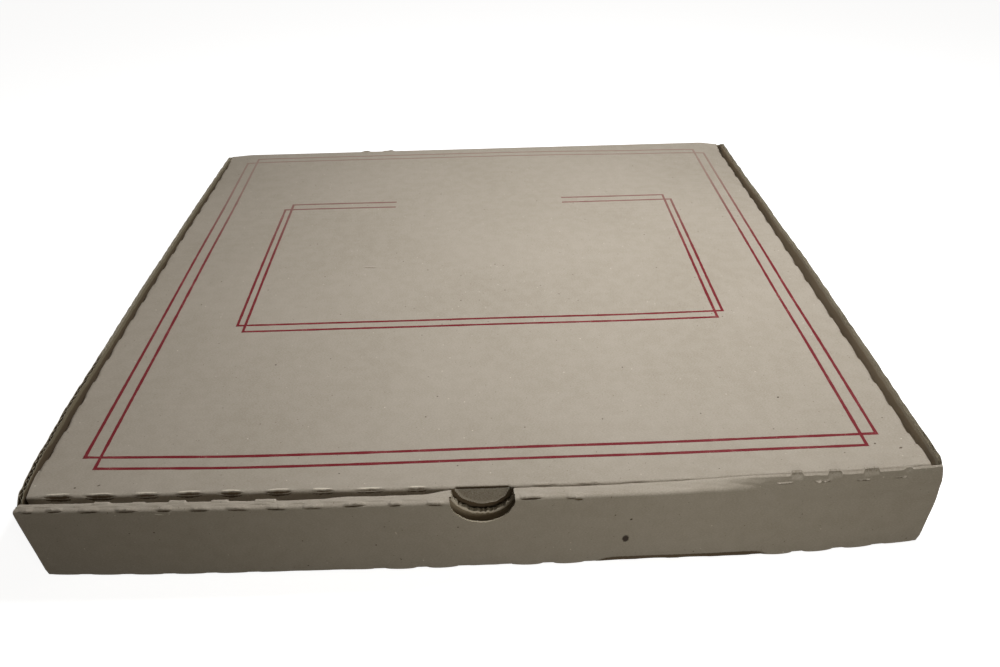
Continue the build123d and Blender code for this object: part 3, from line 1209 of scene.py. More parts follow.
    def bottom_relief(self, x: Array, v: Array, fold: float) -> tuple[Array, Array]:
        """The bottom fold, set back but for lens-shaped bumps at its cuts.

        At its right a dark ply shows under it.

        Args:
            x: Stations along the wall, as a column.
            v: Flat coordinate of the rows.
            fold: Flat coordinate of the fold's middle.

        Returns:
            Displacement along the normal, and how far the liner is torn, on the grid.
        """
        places = row_places(2 * PLAN.half, self.bottom_pitch, self.margin)
        bump = lens(x[:, 0], places, self.bottom_cut / 2)[:, None] * self.bumps(x)
        ply = ramp(x, 38, 50) * ramp(x, 112, 96) * bell(v - fold - 0.45, 0.6, 4)
        setback = self.bottom_setback * (1 - bump) * bell(v - fold, 1.3)
        return -setback - self.ply_depth * ply, 1.3 * ply

    def relief(self, x: Array, flat: Array, ends: list[int]) -> tuple[Array, Array]:
        """Unevenness of the outer face: the cuts, the tabs' tears, the bottom fold and waves.

        The tabs along the inner fold are frayed pale at their tips to the left, and darkened
        brown to the right.

        Args:
            x: Stations along the wall.
            flat: Flat coordinate of the rows.
            ends: Row numbers at which the straights end.

        Returns:
            Displacement along the normal, and how far the liner is torn, on the grid.
        """
        bottom, outer_fold, inner_fold = (
            (flat[ends[i]] + flat[ends[i] + self.fold_cells]) / 2 for i in (0, 2, 3)
        )
        column = x[:, None]
        relief, torn = self.cut_relief(column, flat, outer_fold)
        stands = np.clip(self.tab_reach(x, flat, inner_fold) - self.overlap, 0, 1)
        tips = np.where(column < 0, bell(flat - inner_fold, 0.2), 1)
        torn = torn + np.where(column < 0, -0.7, 0.38) * stands * tips
        bottom_relief, ply = self.bottom_relief(column, flat, bottom)
        low, high = flat[ends[0] + self.fold_cells], flat[ends[2]]
        on_wall = ramp(flat - low, 0, 8) * ramp(high - flat, 0, 6)
        waves = self.wall_wave * on_wall * Ripple(3, 25, 90)(column, flat)
        near_ledge = bell(flat - (outer_fold + inner_fold) / 2, 3)
        waves = waves + self.ledge_wave * near_ledge * Ripple(5, 5, 18)(column, flat * 2)
        return relief + bottom_relief + waves, np.maximum(torn, ply)

    def tab_reach(self, x: Array, flat: Array, fold: float) -> Array:
        """How far the tabs along the inner fold stand back over the lid's edge.

        Args:
            x: Stations along the wall.
            flat: Flat coordinate of the rows.
            fold: Flat coordinate of the inner fold's middle.

        Returns:
            The reach of each point of the grid.
        """
        place, length, height = (np.array(column)[:, None] for column in zip(*self.tabs))
        stands = (height * ease((length / 2 - np.abs(x - place)) / 0.5)).max(axis=0)
        stands = np.maximum(stands, self.overlap * ramp(x, 70, 100))
        return stands[:, None] * (ease((flat - fold + 1.6) / 1.4) * (flat < fold + 0.1))[None, :]

    def strip(self, name: str, x: Array, notched: bool) -> Slab:
        """One length of the rolled wall as a slab.

        The outer face stands off the middle surface by half the board and its relief.

        Args:
            name: Name of the piece.
            x: Stations along the wall.
            notched: Whether the thumb notch is cut out.

        Returns:
            The slab.
        """
        middle, flat, ends = self.surface(x, notched)
        normal = normals_of(middle, x, flat)
        relief, torn = self.relief(x, flat, ends)
        outer = middle + normal * (PLAN.mid + relief)[..., None]
        fold = (flat[ends[3]] + flat[ends[3] + self.fold_cells]) / 2
        outer += self.tab_reach(x, flat, fold)[..., None] * np.array(self.tab_lift)
        pinched = self.pinch * bell(flat - fold, 2.5)
        inner = middle - normal * (PLAN.mid - pinched)[None, :, None]
        keep = every_cell(x, flat)
        centre_x = centres(x)
        in_lock = np.abs(np.abs(centre_x) - self.lock_spacing / 2)
        keep[in_lock < self.lock_length / 2 + self.lock_gap, 1] = False
        keep[in_lock > self.lock_length / 2, -1] = False
        keep[np.abs(centre_x) > PLAN.side_room, : ends[0]] = False
        keep[np.abs(centre_x) > PLAN.side_room, ends[3] + self.fold_cells // 2 :] = False
        inner_tint = self.cut_notch(outer, inner, keep, ends) if notched else None
        slab = Slab(name, outer, inner, x, flat, Flutes.ALONG_U, keep, origin=self.origin)
        slab.torn, slab.inner_tint = torn, inner_tint
        return slab

    def cut_notch(self, outer: Array, inner: Array, keep: Array, ends: list[int]) -> Array:
        """Takes the thumb notch out of the strip.

        The notch is the part of a circle's disc below the ledge. Cells with their middle in the
        disc are dropped, and the points on the new edge are moved onto the circle, which is a
        little ragged.

        Args:
            outer: Points of the outer face.
            inner: Points of the inner face.
            keep: Kept cells, changed in place.
            ends: Row numbers at which the straights end.

        Returns:
            How far the inner face is tinted: the inner wall is frayed pale along the notch, below
            0, and darkened brown past it, above 0.
        """
        radius = ((self.notch_width / 2) ** 2 + self.notch_depth**2) / (2 * self.notch_depth)
        centre = PLAN.top - self.notch_depth + radius
        middle = (outer + inner) / 2
        cell = (middle[:-1, :-1] + middle[1:, 1:] + middle[1:, :-1] + middle[:-1, 1:]) / 4
        hole = np.hypot(cell[..., 0], cell[..., 2] - centre) < radius
        hole[:, : ends[1]] = False
        before = np.pad(keep & hole, 1)
        after = np.pad(keep & ~hole, 1)
        keep &= ~hole

        def touched(cells: Array) -> Array:
            """Points with a marked cell beside them, for cells with a row more on every side."""
            return cells[:-1, :-1] | cells[1:, :-1] | cells[:-1, 1:] | cells[1:, 1:]

        edge = touched(before) & touched(after)
        x, z = middle[..., 0], middle[..., 2]
        ragged = radius + 0.1 * Ripple(11, 1.5, 6)(x, z)
        torn = radius - 0.3 + 0.3 * Ripple(12, 1.2, 4)(x, z)
        inner_wall = middle[..., 1] > PLAN.front + self.inner_from
        ragged = np.where(inner_wall, torn, ragged)
        steep = np.abs(z - centre) > self.notch_steep
        factor = ragged / np.maximum(np.hypot(x, z - centre), 1e-6)
        level_x = np.sign(x) * np.sqrt(np.clip(ragged**2 - (z - centre) ** 2, 0, None))
        new_x = np.where(steep, x * factor, level_x)
        new_z = np.where(steep, centre + (z - centre) * factor, z)
        for face in (outer, inner):
            face[..., 0] += np.where(edge, new_x - x, 0)
            face[..., 2] += np.where(edge, new_z - z, 0)
        away = np.hypot(x, z - centre) - radius
        frayed = ease(1 - away / self.fray_width)
        crushed = 0.6 * frayed * ~inner_wall * (away > -0.5)
        inner += (outer - inner) * crushed[..., None]
        return (0.3 - 1.2 * frayed) * inner_wall * ease(1 - away / self.tint_width)

    def pieces(self, finishes: Finishes) -> list[Object]:
        """Builds the three lengths of the front wall.

        Args:
            finishes: The materials.

        Returns:
            The objects, from left to right.
        """
        side = np.append(np.arange(self.notch_reach, PLAN.half, 0.5), [PLAN.half, PLAN.side_room])
        side = np.unique(np.round(side, 4))
        middle = np.linspace(-self.notch_reach, self.notch_reach, 97)
        strips = [
            self.strip("tray_front_left", -side[::-1], False),
            self.strip("tray_front_middle", middle, True),
            self.strip("tray_front_right", side, False),
        ]
        return [strip.build(finishes.sheet) for strip in strips]


@dataclass
class TrayBase:
    """The base panel inside its folds, with faint waves that fade out in its margin."""

    step: float = 4.0
    margin: float = 20.0
    wave: float = 0.12

    def piece(self, finishes: Finishes) -> Object:
        """Builds the panel as a level slab between the seams.

        Seen from above it shows its inner face, so its outer face looks down.

        Args:
            finishes: The materials.

        Returns:
            The object.
        """
        x = np.linspace(-PLAN.side_seam, PLAN.side_seam, int(2 * PLAN.side_seam / self.step))
        y = np.linspace(PLAN.front_seam, PLAN.back_seam, int(2 * PLAN.back_seam / self.step))
        grid_x, grid_y = grid_of(x, y)
        inset = ramp(PLAN.side_seam - np.abs(grid_x), 0, self.margin)
        inset = inset * ramp(grid_y - PLAN.front_seam, 0, self.margin)
        inset = inset * ramp(PLAN.back_seam - grid_y, 0, self.margin)
        wave = self.wave * inset * Ripple(21, 60, 160)(grid_x, grid_y)
        top = np.stack([grid_x, grid_y, PLAN.board + wave + self.wave * inset], axis=-1)
        under = np.stack([grid_x, grid_y, 0 * wave], axis=-1)
        slab = Slab("tray_base", top, under, x, y, Flutes.ALONG_U, origin=(700, 400))
        return slab.build([finishes.sheet[1], finishes.sheet[0], *finishes.sheet[2:]])


@dataclass
class TraySide:
    """A side wall: its bottom fold, the wall that bows outwards, and the raw top edge."""

    side: Side
    step: float = 0.42
    corner_cut: float = 3.5
    corner_reach: float = 6.0
    rim_cells: int = 14
    pocket: float = 1.0
    widest: float = 3.3
    wave: float = 0.12
    rim_drop: float = 0.25
    rim_wave: float = 0.16
    rise_shares: tuple[float, ...] = (0, 0.12, 0.25, 0.4, 0.55, 0.7, 0.8, 0.88, 0.94, 0.975, 1)
    left_bulge: Curve = Curve(
        (-155, -150, -142, -137, -132, -121, -97, -40, -4, 38, 87, 115, 150, 158),
        (1.3, 1.5, 1.9, 2.5, 3.0, 3.3, 3.3, 3.3, 3.25, 2.5, 1.9, 1.2, 0.4, 0.2),
    )
    right_bulge: Curve = Curve(
        (-155, -148, -137, -126, -88, -58, -23, 17, 65, 93, 115, 126, 158),
        (2.7, 3.0, 3.2, 3.2, 3.2, 3.25, 3.25, 2.6, 1.6, 0.9, 0.6, 0.2, 0.1),
    )

    def wear(self, y: Array) -> tuple[Array, Array, Array, Array]:
        """Wear of the raw top edge, which is strongest on the left towards the front.

        Args:
            y: Stations along the wall.

        Returns:
            How far the edge is pressed down, half the board's extra thickness at the edge, the
            share of its flutes that is crushed shut, and how narrow the painted shade band under
            it is.
        """
        if self.side == Side.LEFT:
            pressed, swollen = ramp(y, -100, -122), 0.2 * ramp(y, -108, -133)
            crushed, narrow = ramp(y, -90, -50), ramp(y, -114, -128)
        else:
            pressed, swollen = 0 * y, 0 * y
            crushed, narrow = 0.55 + 0.45 * ramp(y, -125, -95), 0 * y
        crushed = np.clip(crushed + 0.25 * Ripple(45 + self.side, 6, 30)(y, 0 * y), 0, 1)
        return pressed, 0.05 + swollen, crushed, narrow

    def piece(self, finishes: Finishes) -> Object:
        """Builds the wall.

        The section at each station runs from the base seam round the bottom fold and up to the
        raw edge. It leans out by the bulge times a power of the height's share. The left wall is
        the mirror image of a right wall with the left wall's curves.

        Args:
            finishes: The materials.

        Returns:
            The object.
        """
        mid = PLAN.mid
        front_end = TrayFront().end_y(self.side) + 2 * PLAN.board + 0.1
        y_low = max(PLAN.front + PLAN.ledge + PLAN.layer_gap, front_end)
        y_high = PLAN.back - PLAN.board - PLAN.layer_gap
        y = np.linspace(y_low, y_high, int((y_high - y_low) / self.step))
        y = np.unique(np.append(y, [PLAN.front_seam, PLAN.back_seam]))
        end = np.minimum(y - y_low, y_high - y)
        pressed, swollen, crushed, narrow = self.wear(y)
        top = PLAN.rim_top - self.rim_drop + self.rim_wave * Ripple(31 + self.side, 3, 14)(y, 0 * y)
        top = np.minimum(top, PLAN.rim_top) - pressed
        top = top - self.corner_cut * np.clip(1 - end / self.corner_reach, 0, None) ** 1.5
        level = np.zeros_like(y)
        fold_x = level + PLAN.half - mid
        corners = [(level + PLAN.side_seam, level + mid), (fold_x, level + mid), (fold_x, top)]
        corners = np.stack([np.stack(corner, axis=-1) for corner in corners], axis=1)
        shares = [np.array([0.0, 0.6, 1.0]), np.array(self.rise_shares)]
        path = folded_path(corners, [PLAN.fold_trim], shares, [6])
        flat = path_lengths(path[len(path) // 2]) + PLAN.side_seam
        height = path[..., 1]
        rise = np.clip(height / PLAN.rim_top, 0, 1)
        bulge = self.left_bulge if self.side == Side.LEFT else self.right_bulge
        lean = bulge(y)[:, None] * rise**1.25
        wave = self.wave * Ripple(41 + self.side, 20, 80)(y[:, None], height)
        lean = lean + wave * ease(rise * 2)
        lean = np.minimum(lean, self.widest * rise)
        rows = np.broadcast_to(y[:, None], path.shape[:2])
        middle = np.stack([path[..., 0] + lean, rows, height], axis=-1)
        normal = normals_of(middle, y, flat)
        half = mid + swollen[:, None, None] * (rise**10)[..., None]
        torn = np.zeros(middle.shape[:2])
        torn[:, -1] = -crushed
        narrow = narrow[:, None]
        # Painted shade: the inner face darkens in a band under the raw edge, where the lid's edge
        # shades it.
        inner_tint = ease((top[:, None] - 0.5 * (1 - narrow) - height) / (2.2 - 1.6 * narrow))
        inner_tint = 0.9 * inner_tint * ramp(height, 24, 32)
        outer, inner = middle + normal * half, middle - normal * half
        keep = every_cell(y, flat)
        keep[(centres(y) < PLAN.front_seam) | (centres(y) > PLAN.back_seam), :2] = False
        if self.side == Side.LEFT:
            outer[..., 0] *= -1
            inner[..., 0] *= -1
            outer, inner, keep, y = outer[::-1], inner[::-1], keep[::-1], y[::-1]
            torn, inner_tint = torn[::-1], inner_tint[::-1]
        name = f"tray_side_{self.side.name.lower()}"
        slab = Slab(name, outer, inner, y, flat, Flutes.ALONG_V, keep, origin=(0, 900))
        slab.rim_cells, slab.pocket = self.rim_cells, self.pocket
        slab.torn, slab.inner_tint = torn, inner_tint
        return slab.build(finishes.upright[self.side])


@dataclass
class TrayBack:
    """The back wall with its bottom fold."""

    step: float = 1.5
    lid_gap: float = 0.7
    wave: float = 0.15
    wave_offset: float = 1.2

    def piece(self, finishes: Finishes) -> Object:
        """Builds the wall: a folded section, the same at every station, with faint waves.

        Args:
            finishes: The materials.

        Returns:
            The object.
        """
        x = np.linspace(-PLAN.half, PLAN.half, int(2 * PLAN.half / self.step))
        x = np.unique(np.append(x, [-PLAN.side_room, PLAN.side_room]))
        mid = PLAN.mid
        top = PLAN.top - PLAN.board - self.lid_gap
        corners = np.array([(PLAN.back_seam, mid), (PLAN.back - mid, mid), (PLAN.back - mid, top)])
        shares = [np.linspace(0, 1, 4), np.linspace(0, 1, 13)]
        path = folded_path(corners[None], [PLAN.fold_trim], shares, [6])[0]
        flat = path_lengths(path) + PLAN.back_seam
        grid_x, grid_v = grid_of(x, flat)
        rise = ramp(path[:, 1], 0, 8) * ramp(top - path[:, 1], 0, 6)
        wave = self.wave * rise * (Ripple(51, 30, 120)(grid_x, grid_v) - self.wave_offset)
        middle = np.stack([grid_x, path[:, 0] + wave, path[:, 1] + 0 * grid_x], axis=-1)
        normal = normals_of(middle, x, flat)
        keep = every_cell(x, flat)
        keep[np.abs(centres(x)) > PLAN.side_room, :3] = False
        outer, inner = (middle - normal * mid)[::-1], (middle + normal * mid)[::-1]
        slab = Slab("tray_back", outer, inner, x[::-1], flat, Flutes.ALONG_U, keep[::-1])
        slab.origin = (700, 800)
        return slab.build(finishes.sheet)


@dataclass
class CornerTab:
    """A tab of a side wall, turned in along the front or the back wall."""

    side: Side
    at_back: bool
    length: float
    height: float
    taper: float = 12.0
    wall_gap: float = 1.75
    start_gap: float = 0.6

    def piece(self, finishes: Finishes) -> Object:
        """Builds the tab.

        Its plan is a path round the corner, carried up to its top edge. At the front it keeps
        its distance from the rolled wall at every station.

        Args:
            finishes: The materials.

        Returns:
            The object.
        """
        mid = PLAN.mid
        foot = PLAN.board + PLAN.edge_gap
        x_wall = PLAN.half - mid
        if self.at_back:
            y_line = PLAN.back - PLAN.board - PLAN.layer_gap - mid
            start = y_line - PLAN.ledge
        else:
            y_line = TrayFront().end_y(self.side) + self.wall_gap
            start = y_line + PLAN.board + self.start_gap
        corners = np.array([(x_wall, start), (x_wall, y_line), (PLAN.half - self.length, y_line)])
        shares = [np.linspace(0, 1, 3), np.linspace(0, 1, 24)]
        path = folded_path(corners[None], [PLAN.fold_trim], shares, [6])[0]
        flat_u = path_lengths(path)
        z = np.linspace(foot, foot + self.height, 12)
        run = np.clip(x_wall - path[:, 0], 0, None)
        drop = run * np.tan(np.radians(self.taper)) if self.at_back else 0 * run
        share = (z - foot) / self.height
        height = foot + share[None, :] * (self.height - drop[:, None])
        y = path[:, 1:] + 0 * height
        if not self.at_back:
            low, bend = TrayFront().outer_y(path[:, 0] * self.side)
            line = low[:, None] + (bend - low)[:, None] * height / TrayFront.bend_z
            y = y + (line + self.wall_gap - y_line) * ramp(run, 0, 3)[:, None]
        middle = np.stack([path[:, :1] * self.side + 0 * height, y, height], axis=-1)
        if self.at_back == (self.side == Side.LEFT):
            middle, flat_u = middle[::-1], flat_u[::-1]
        normal = normals_of(middle, flat_u, z)
        outer, inner = middle + normal * mid, middle - normal * mid
        name = f"tray_{'back' if self.at_back else 'front'}_tab_{self.side.name.lower()}"
        slab = Slab(name, outer, inner, flat_u, z, Flutes.ALONG_V, origin=(0, 1400))
        return slab.build(finishes.upright[self.side])


@dataclass
class Tray:
    """The tray, folded from one sheet: base, rolled front wall, side walls, back wall and tabs."""

    front_tab: tuple[float, float] = (46.0, 24.0)
    back_tab: tuple[float, float] = (42.0, 28.0)

    def build(self, finishes: Finishes) -> None:
        """Builds every piece and lets it ride on the tray's body.

        Args:
            finishes: The materials.
        """
        pieces = TrayFront().pieces(finishes)
        pieces += [TrayBase().piece(finishes), TrayBack().piece(finishes)]
        for side in Side:
            pieces.append(TraySide(side).piece(finishes))
            pieces.append(CornerTab(side, False, *self.front_tab).piece(finishes))
            pieces.append(CornerTab(side, True, *self.back_tab).piece(finishes))
        for piece in pieces:
            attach(piece, "tray")
            report(piece)
        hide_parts("tray")


@dataclass
class LidShape:
    """The lid's middle surface as a function of its flat sheet coordinates.

    s runs across and t from front to back. Past a fold the sheet turns down round the fold's
    arc and then runs straight down, so every piece of the lid lies on this one surface.
    """

    print_shift: Curve = Curve(
        (-163, -140, -120, -100, -60, 0, 60, 100, 140, 163),
        (2.7, 1.9, 1.2, 0.3, -0.6, -0.9, -1.1, -0.8, -0.6, -0.2),
    )
    edge_shift: Curve = Curve(
        (-163, -151, -136, -119, -97, -83, -69, -47, -29, 0, 42, 79, 109, 125, 147, 159, 163),
        (3.6, 3.75, 3.6, 3.5, 3.4, 2.9, 2.8, 1.9, 1.7, 1.1, 0.7, 1.1, 2.1, 2.1, 2.8, 3.6, 3.9),
    )
    left_edge: Curve = Curve(
        (-153, -147, -142, -137, -130, -118, -95, -60, -20, 30, 91, 118, 158),
        (0.2, 1.1, 1.6, 2.3, 2.2, 2.1, 2.6, 2.9, 2.8, 2.3, 1.6, 1.2, 0.9),
    )
    right_edge: Curve = Curve(
        (-153, -140, -100, -40, 94, 150, 158), (0.3, 0.5, 0.5, 0.4, 0.0, -0.8, -1.2)
    )
    back_rise: Curve = Curve(
        (-163, -150, -110, -45, 0, 63, 95, 150, 163),
        (0.3, 1.0, 1.4, 1.4, 1.35, 0.9, 0.3, -0.6, -1.4),
    )
    front_rise: Curve = Curve(
        (-163, -140, -100, 0, 60, 115, 163), (-0.3, -0.6, -0.6, 0.0, 0.2, 0.7, 0.9)
    )
    corner_pull: tuple[float, float] = (2.2, 3.2)
    right_draw: float = 0.6
    sway: float = 0.18
    sag: float = 0.1
    bow_share: float = 0.38
    edge_band: float = 16.0
    setback: float = 2.2
    front_flap: float = 30.0
    front_radius: float = 0.5
    flap_lean: float = 0.08

    @property
    def front_lean(self) -> float:
        """Angle in radians by which the front flap tucks in."""
        return self.setback / self.front_flap

    @property
    def fold_s(self) -> float:
        """Flat place where a side fold's arc starts."""
        return PLAN.lid_half - PLAN.mid - PLAN.fold_radius

    @property
    def fold_t(self) -> float:
        """Flat place where the front fold's arc starts."""
        return PLAN.lid_front + PLAN.mid + self.front_radius

    def plan(self, x: Array, y: Array) -> tuple[Array, Array]:
        """Place of a flat point of the panel in plan, with the bows of the real lid.

        Args:
            x: Flat place across.
            y: Flat place from front to back.

        Returns:
            X and Y of the point.
        """
        near = ramp(self.bow_share * PLAN.back - y, 0, 250)
        edge = ramp(PLAN.lid_front + self.edge_band - y, 0, self.edge_band)
        shift = self.print_shift(x) * near
        shift = shift + (self.edge_shift(x) - shift) * edge
        corner = ramp(np.abs(x), 150, 164) * ramp(y, 130, 158)
        shift = shift - corner * np.where(x < 0, *self.corner_pull)
        margin = ramp(np.abs(x), 151, 163)
        bow = margin * np.where(x < 0, -self.left_edge(y), self.right_edge(y))
        bow = bow - self.right_draw * ramp(x, 60, 150) * ramp(y, -80, -20)
        return x + bow, y + shift

    def height(self, x: Array, y: Array) -> Array:
        """Height of the panel's middle surface over the table.

        Args:
            x: Flat place across.
            y: Flat place from front to back.

        Returns:
            Z of the point.
        """
        front = ramp(y, 30, -150)
        back = ramp(y, 60, 152) * ramp(PLAN.hinge_y - 0.3 - y, 0, 4)
        sway = self.sway * Ripple(61, 70, 220)(x, y) * ramp(PLAN.back - y, 0, 40)
        rise = self.front_rise(x) * front + self.back_rise(x) * back
        return PLAN.hinge_z + rise + sway - self.sag

    def middle(self, s: Array, t: Array, side_folded: Array | bool = True) -> Array:
        """Middle surface at flat places.

        Args:
            s: Flat place across.
            t: Flat place from front to back.
            side_folded: Where the sheet past a side fold is turned down.

        Returns:
            The points, with a last axis of 3.
        """
        past_s = np.where(side_folded, np.clip(np.abs(s) - self.fold_s, 0, None), 0)
        past_t = np.clip(self.fold_t - t, 0, None)
        flat_s = np.sign(s) * (np.abs(s) - past_s)
        flat_t = t + past_t
        side_run, side_drop = self.turn(past_s, PLAN.fold_radius, self.flap_lean)
        front_run, front_drop = self.turn(past_t, self.front_radius, self.front_lean)
        x, y = self.plan(flat_s, flat_t)
        z = self.height(flat_s, flat_t) - side_drop - front_drop
        return np.stack([x + np.sign(s) * side_run, y - front_run, z], axis=-1)

    @staticmethod
    def turn(past: Array, radius: float, lean: float) -> tuple[Array, Array]:
        """Run and drop of a sheet that turns down: an arc past a quarter turn, then straight.

        Args:
            past: Length of sheet past the start of the fold.
            radius: Radius of the fold.
            lean: Angle past the vertical, in radians, by which the flap tucks in.

        Returns:
            How far the sheet runs on and how far it drops.
        """
        full = np.pi / 2 + lean
        angle = np.minimum(past / radius, full)
        rest = np.clip(past - full * radius, 0, None)
        run = radius * np.sin(angle) + rest * np.cos(full)
        drop = radius * (1 - np.cos(angle)) + rest * np.sin(full)
        return run, drop


LID = LidShape()


@dataclass
class LidPanel:
    """The flat middle of the lid."""

    step: float = 3.0

    def piece(self, finishes: Finishes) -> Object:
        """Builds the panel as a slab on the lid's surface, between the seams.

        Args:
            finishes: The materials.

        Returns:
            The object.
        """
        seam = PLAN.lid_side_seam
        s = np.linspace(-seam, seam, int(2 * seam / self.step))
        t = np.linspace(PLAN.lid_front_seam, PLAN.back_seam, int(2 * PLAN.back_seam / self.step))
        grid_s, grid_t = grid_of(s, t)
        middle = LID.middle(grid_s, grid_t)
        normal = normals_of(middle, s, t)
        outer, inner = middle + normal * PLAN.mid, middle - normal * PLAN.mid
        return Slab("lid_panel", outer, inner, s, t, Flutes.ALONG_U).build(finishes.sheet)


@dataclass
class LidFront:
    """The lid's front fold with its opened cuts, and the front flap behind the ledge."""

    flap_inset: float = 12.0
    corner_drop: float = 5.0
    taper: float = 12.0
    cuts: tuple[tuple[float, float], ...] = (
        (-152.4, 10.4), (-137.4, 11.4), (-120.9, 9.8), (-105.5, 10.5), (-90.3, 8.6), (-73.3, 10.2),
        (-57.3, 8.6), (-40.3, 11.2), (-23.3, 8.8), (22.3, 9.4), (38.5, 8.8), (55.1, 9.4),
        (71.1, 7.6), (157.0, 5.0),
    )
    thumb_width: float = 19.0
    thumb_depth: float = 8.1
    opening: Curve = Curve((-163, -100, -30, 40, 70, 163), (1.0, 0.95, 0.5, 0.24, 0.14, 0.12))
    # Strength of the band that darkens the fold's underside, part brown tone and part painted
    # shade.
    wear_and_shade: Curve = Curve((-163, -100, -60, -20, 0, 163), (0.22, 0.22, 0.28, 0.35, 0.3, 0.0))
    window_depth: float = 0.34
    ply_height: float = 0.2
    lip_height: float = 0.2
    slit_depth: float = 0.8
    thumb_press: float = 0.45
    thumb_groove: float = 0.4
    wave: float = 0.08
    step: float = 0.5
    even_half: float = 163.0

    def fold_relief(self, s: Array, t: Array, arc: float) -> tuple[Array, Array]:
        """Cuts along the fold, opened as lens-shaped windows that hang below it.

        Their depth is a smooth step of the distance inside the lens, and a ply runs along them.
        Their upper rims are torn up a little and pale. A straight slit joins the ends of the
        thumb panel, and the fold under the cuts is darkened brown, part brown tone and part
        painted shade on its underside, which faces forwards.

        Args:
            s: Flat places across.
            t: Flat places from front to back.
            arc: Length of the fold's arc.

        Returns:
            Displacement along the normal, and how far the liner is torn, on the grid.
        """
        rng = np.random.default_rng(23)
        size = rng.uniform(0.7, 1.1, len(self.cuts))
        nearest, share = nearest_cut(s, self.cuts)
        window = np.clip(1 - share**2, 0, None)[:, None] ** 0.7
        reach = (self.opening(s) * size[nearest])[:, None] * window
        centre = LID.fold_t - arc * 0.5
        uneven = 0.12 * Ripple(73, 1.5, 7)(s[:, None], t[None, :])
        off = t[None, :] - centre
        inside = np.minimum(0.2 * reach - off, off + 1.8 * reach) + uneven * window
        open_cut = ramp(inside, -0.1, 0.14) * (window > 0)
        ply = bell(off + 0.6 * reach, 0.16)
        lip = window * bell(off - 0.2 * reach - 0.28, 0.24)
        lip = lip * np.clip(self.opening(s) / 0.6, 0.3, 1)[:, None]
        slit = ramp(np.abs(s) - self.thumb_width / 2, 0.6, -0.2)[:, None]
        slit = slit * bell(off + 0.1, 0.24)
        relief = -open_cut * (self.window_depth - self.ply_height * ply)
        relief = relief + self.lip_height * lip - self.slit_depth * slit
        # Part painted shade: the brown band darkens the fold's forward-facing underside under the
        # cuts.
        band = self.wear_and_shade(s)[:, None] * ease((LID.fold_t - 0.7 * arc - t[None, :] + uneven) / 0.3)
        dark = np.maximum(open_cut * (0.66 - 0.4 * ply), np.maximum(slit * 1.2, band))
        return relief, dark - 0.9 * lip

    def thumb_relief(self, s: Array, below: Array) -> tuple[Array, Array]:
        """The pressed half moon under the slit.

        Inside its circle the flap is pushed in. Along the circle runs a pale rim, and outside it
        a groove in a band painted brown as the shade of the gap behind the inner wall's notch.

        Args:
            s: Flat places across.
            below: Distance of the rows below the fold.

        Returns:
            Displacement along the normal, and how far the liner is torn, on the grid.
        """
        radius = ((self.thumb_width / 2) ** 2 + self.thumb_depth**2) / (2 * self.thumb_depth)
        away = np.hypot(s[:, None], below[None, :] + radius - self.thumb_depth) - radius
        away = away + 0.12 * Ripple(77, 2, 8)(s[:, None], below[None, :])
        on_flap = below[None, :] > 0
        inside = ease(-away / 0.6) * on_flap
        rim = bell(away + 0.2, 0.22) * on_flap
        groove = bell(away - 0.35, 0.3) * on_flap
        # Painted shade: a brown band round the half moon stands in for the shaded gap between the
        # inner wall and the flap.
        gap_shade = ramp(away, 0.1, 0.4) * ramp(away, 2.6, 2.0) * on_flap
        relief = -self.thumb_press * inside + 0.1 * rim - self.thumb_groove * groove
        return relief, 0.45 * gap_shade - 1.1 * rim + 0.08 * inside * (1 - rim)

    def piece(self, finishes: Finishes) -> Object:
        """Builds the strip.

        Args:
            finishes: The materials.

        Returns:
            The object.
        """
        flap_end = PLAN.lid_half - self.flap_inset
        ends = [-PLAN.lid_half, PLAN.lid_half, -flap_end, flap_end]
        even = np.arange(-self.even_half, self.even_half + 0.01, self.step)
        s = np.unique(np.round(np.append(even, ends), 4))
        arc = LID.front_radius * (np.pi / 2 + LID.front_lean)
        fold = LID.fold_t - np.linspace(0, arc, 13)
        length = LID.front_flap - PLAN.board - 1
        spans = ((0, 2, 9), (2, 10, 21), (10, length, 8))
        down = np.concatenate([np.linspace(*span)[1:] for span in spans])
        flap = fold[-1] - down
        flat = LID.fold_t + np.array([0.2, 0.4, 0.6, 0.8, 1.0, 1.25, 1.6, 2.4])
        t = np.concatenate([flap[::-1], fold[::-1], flat, [PLAN.lid_front_seam]])
        grid_s, grid_t = grid_of(s, t)
        below = np.clip(fold[-1] - grid_t, 0, None)
        drift = below * np.tan(np.radians(self.taper))
        slant = np.clip(np.abs(grid_s) / flap_end, 0, 1) ** 12
        slant = slant * np.clip(1 - (np.abs(grid_s) - flap_end) / 6, 0, 1)
        shaped_s = grid_s - np.sign(grid_s) * drift * slant
        middle = LID.middle(np.clip(shaped_s, -PLAN.lid_half, PLAN.lid_half), grid_t, False)
        normal = normals_of(middle, s, t)
        relief, torn = self.fold_relief(s, t, arc)
        thumb, thumb_torn = self.thumb_relief(s, fold[-1] + 0.4 - t)
        waves = self.wave * Ripple(71, 6, 22)(grid_s, grid_t)
        relief = relief + thumb + waves * ease((PLAN.lid_front_seam - grid_t) / 2)
        outer = middle + normal * (PLAN.mid + relief)[..., None]
        inner = middle - normal * PLAN.mid
        keep = every_cell(s, t)
        keep[np.abs(centres(s)) > flap_end, : (down > self.corner_drop).sum()] = False
        slab = Slab("lid_front", outer, inner, s, t, Flutes.ALONG_U, keep, torn=torn + thumb_torn)
        return slab.build(finishes.sheet)


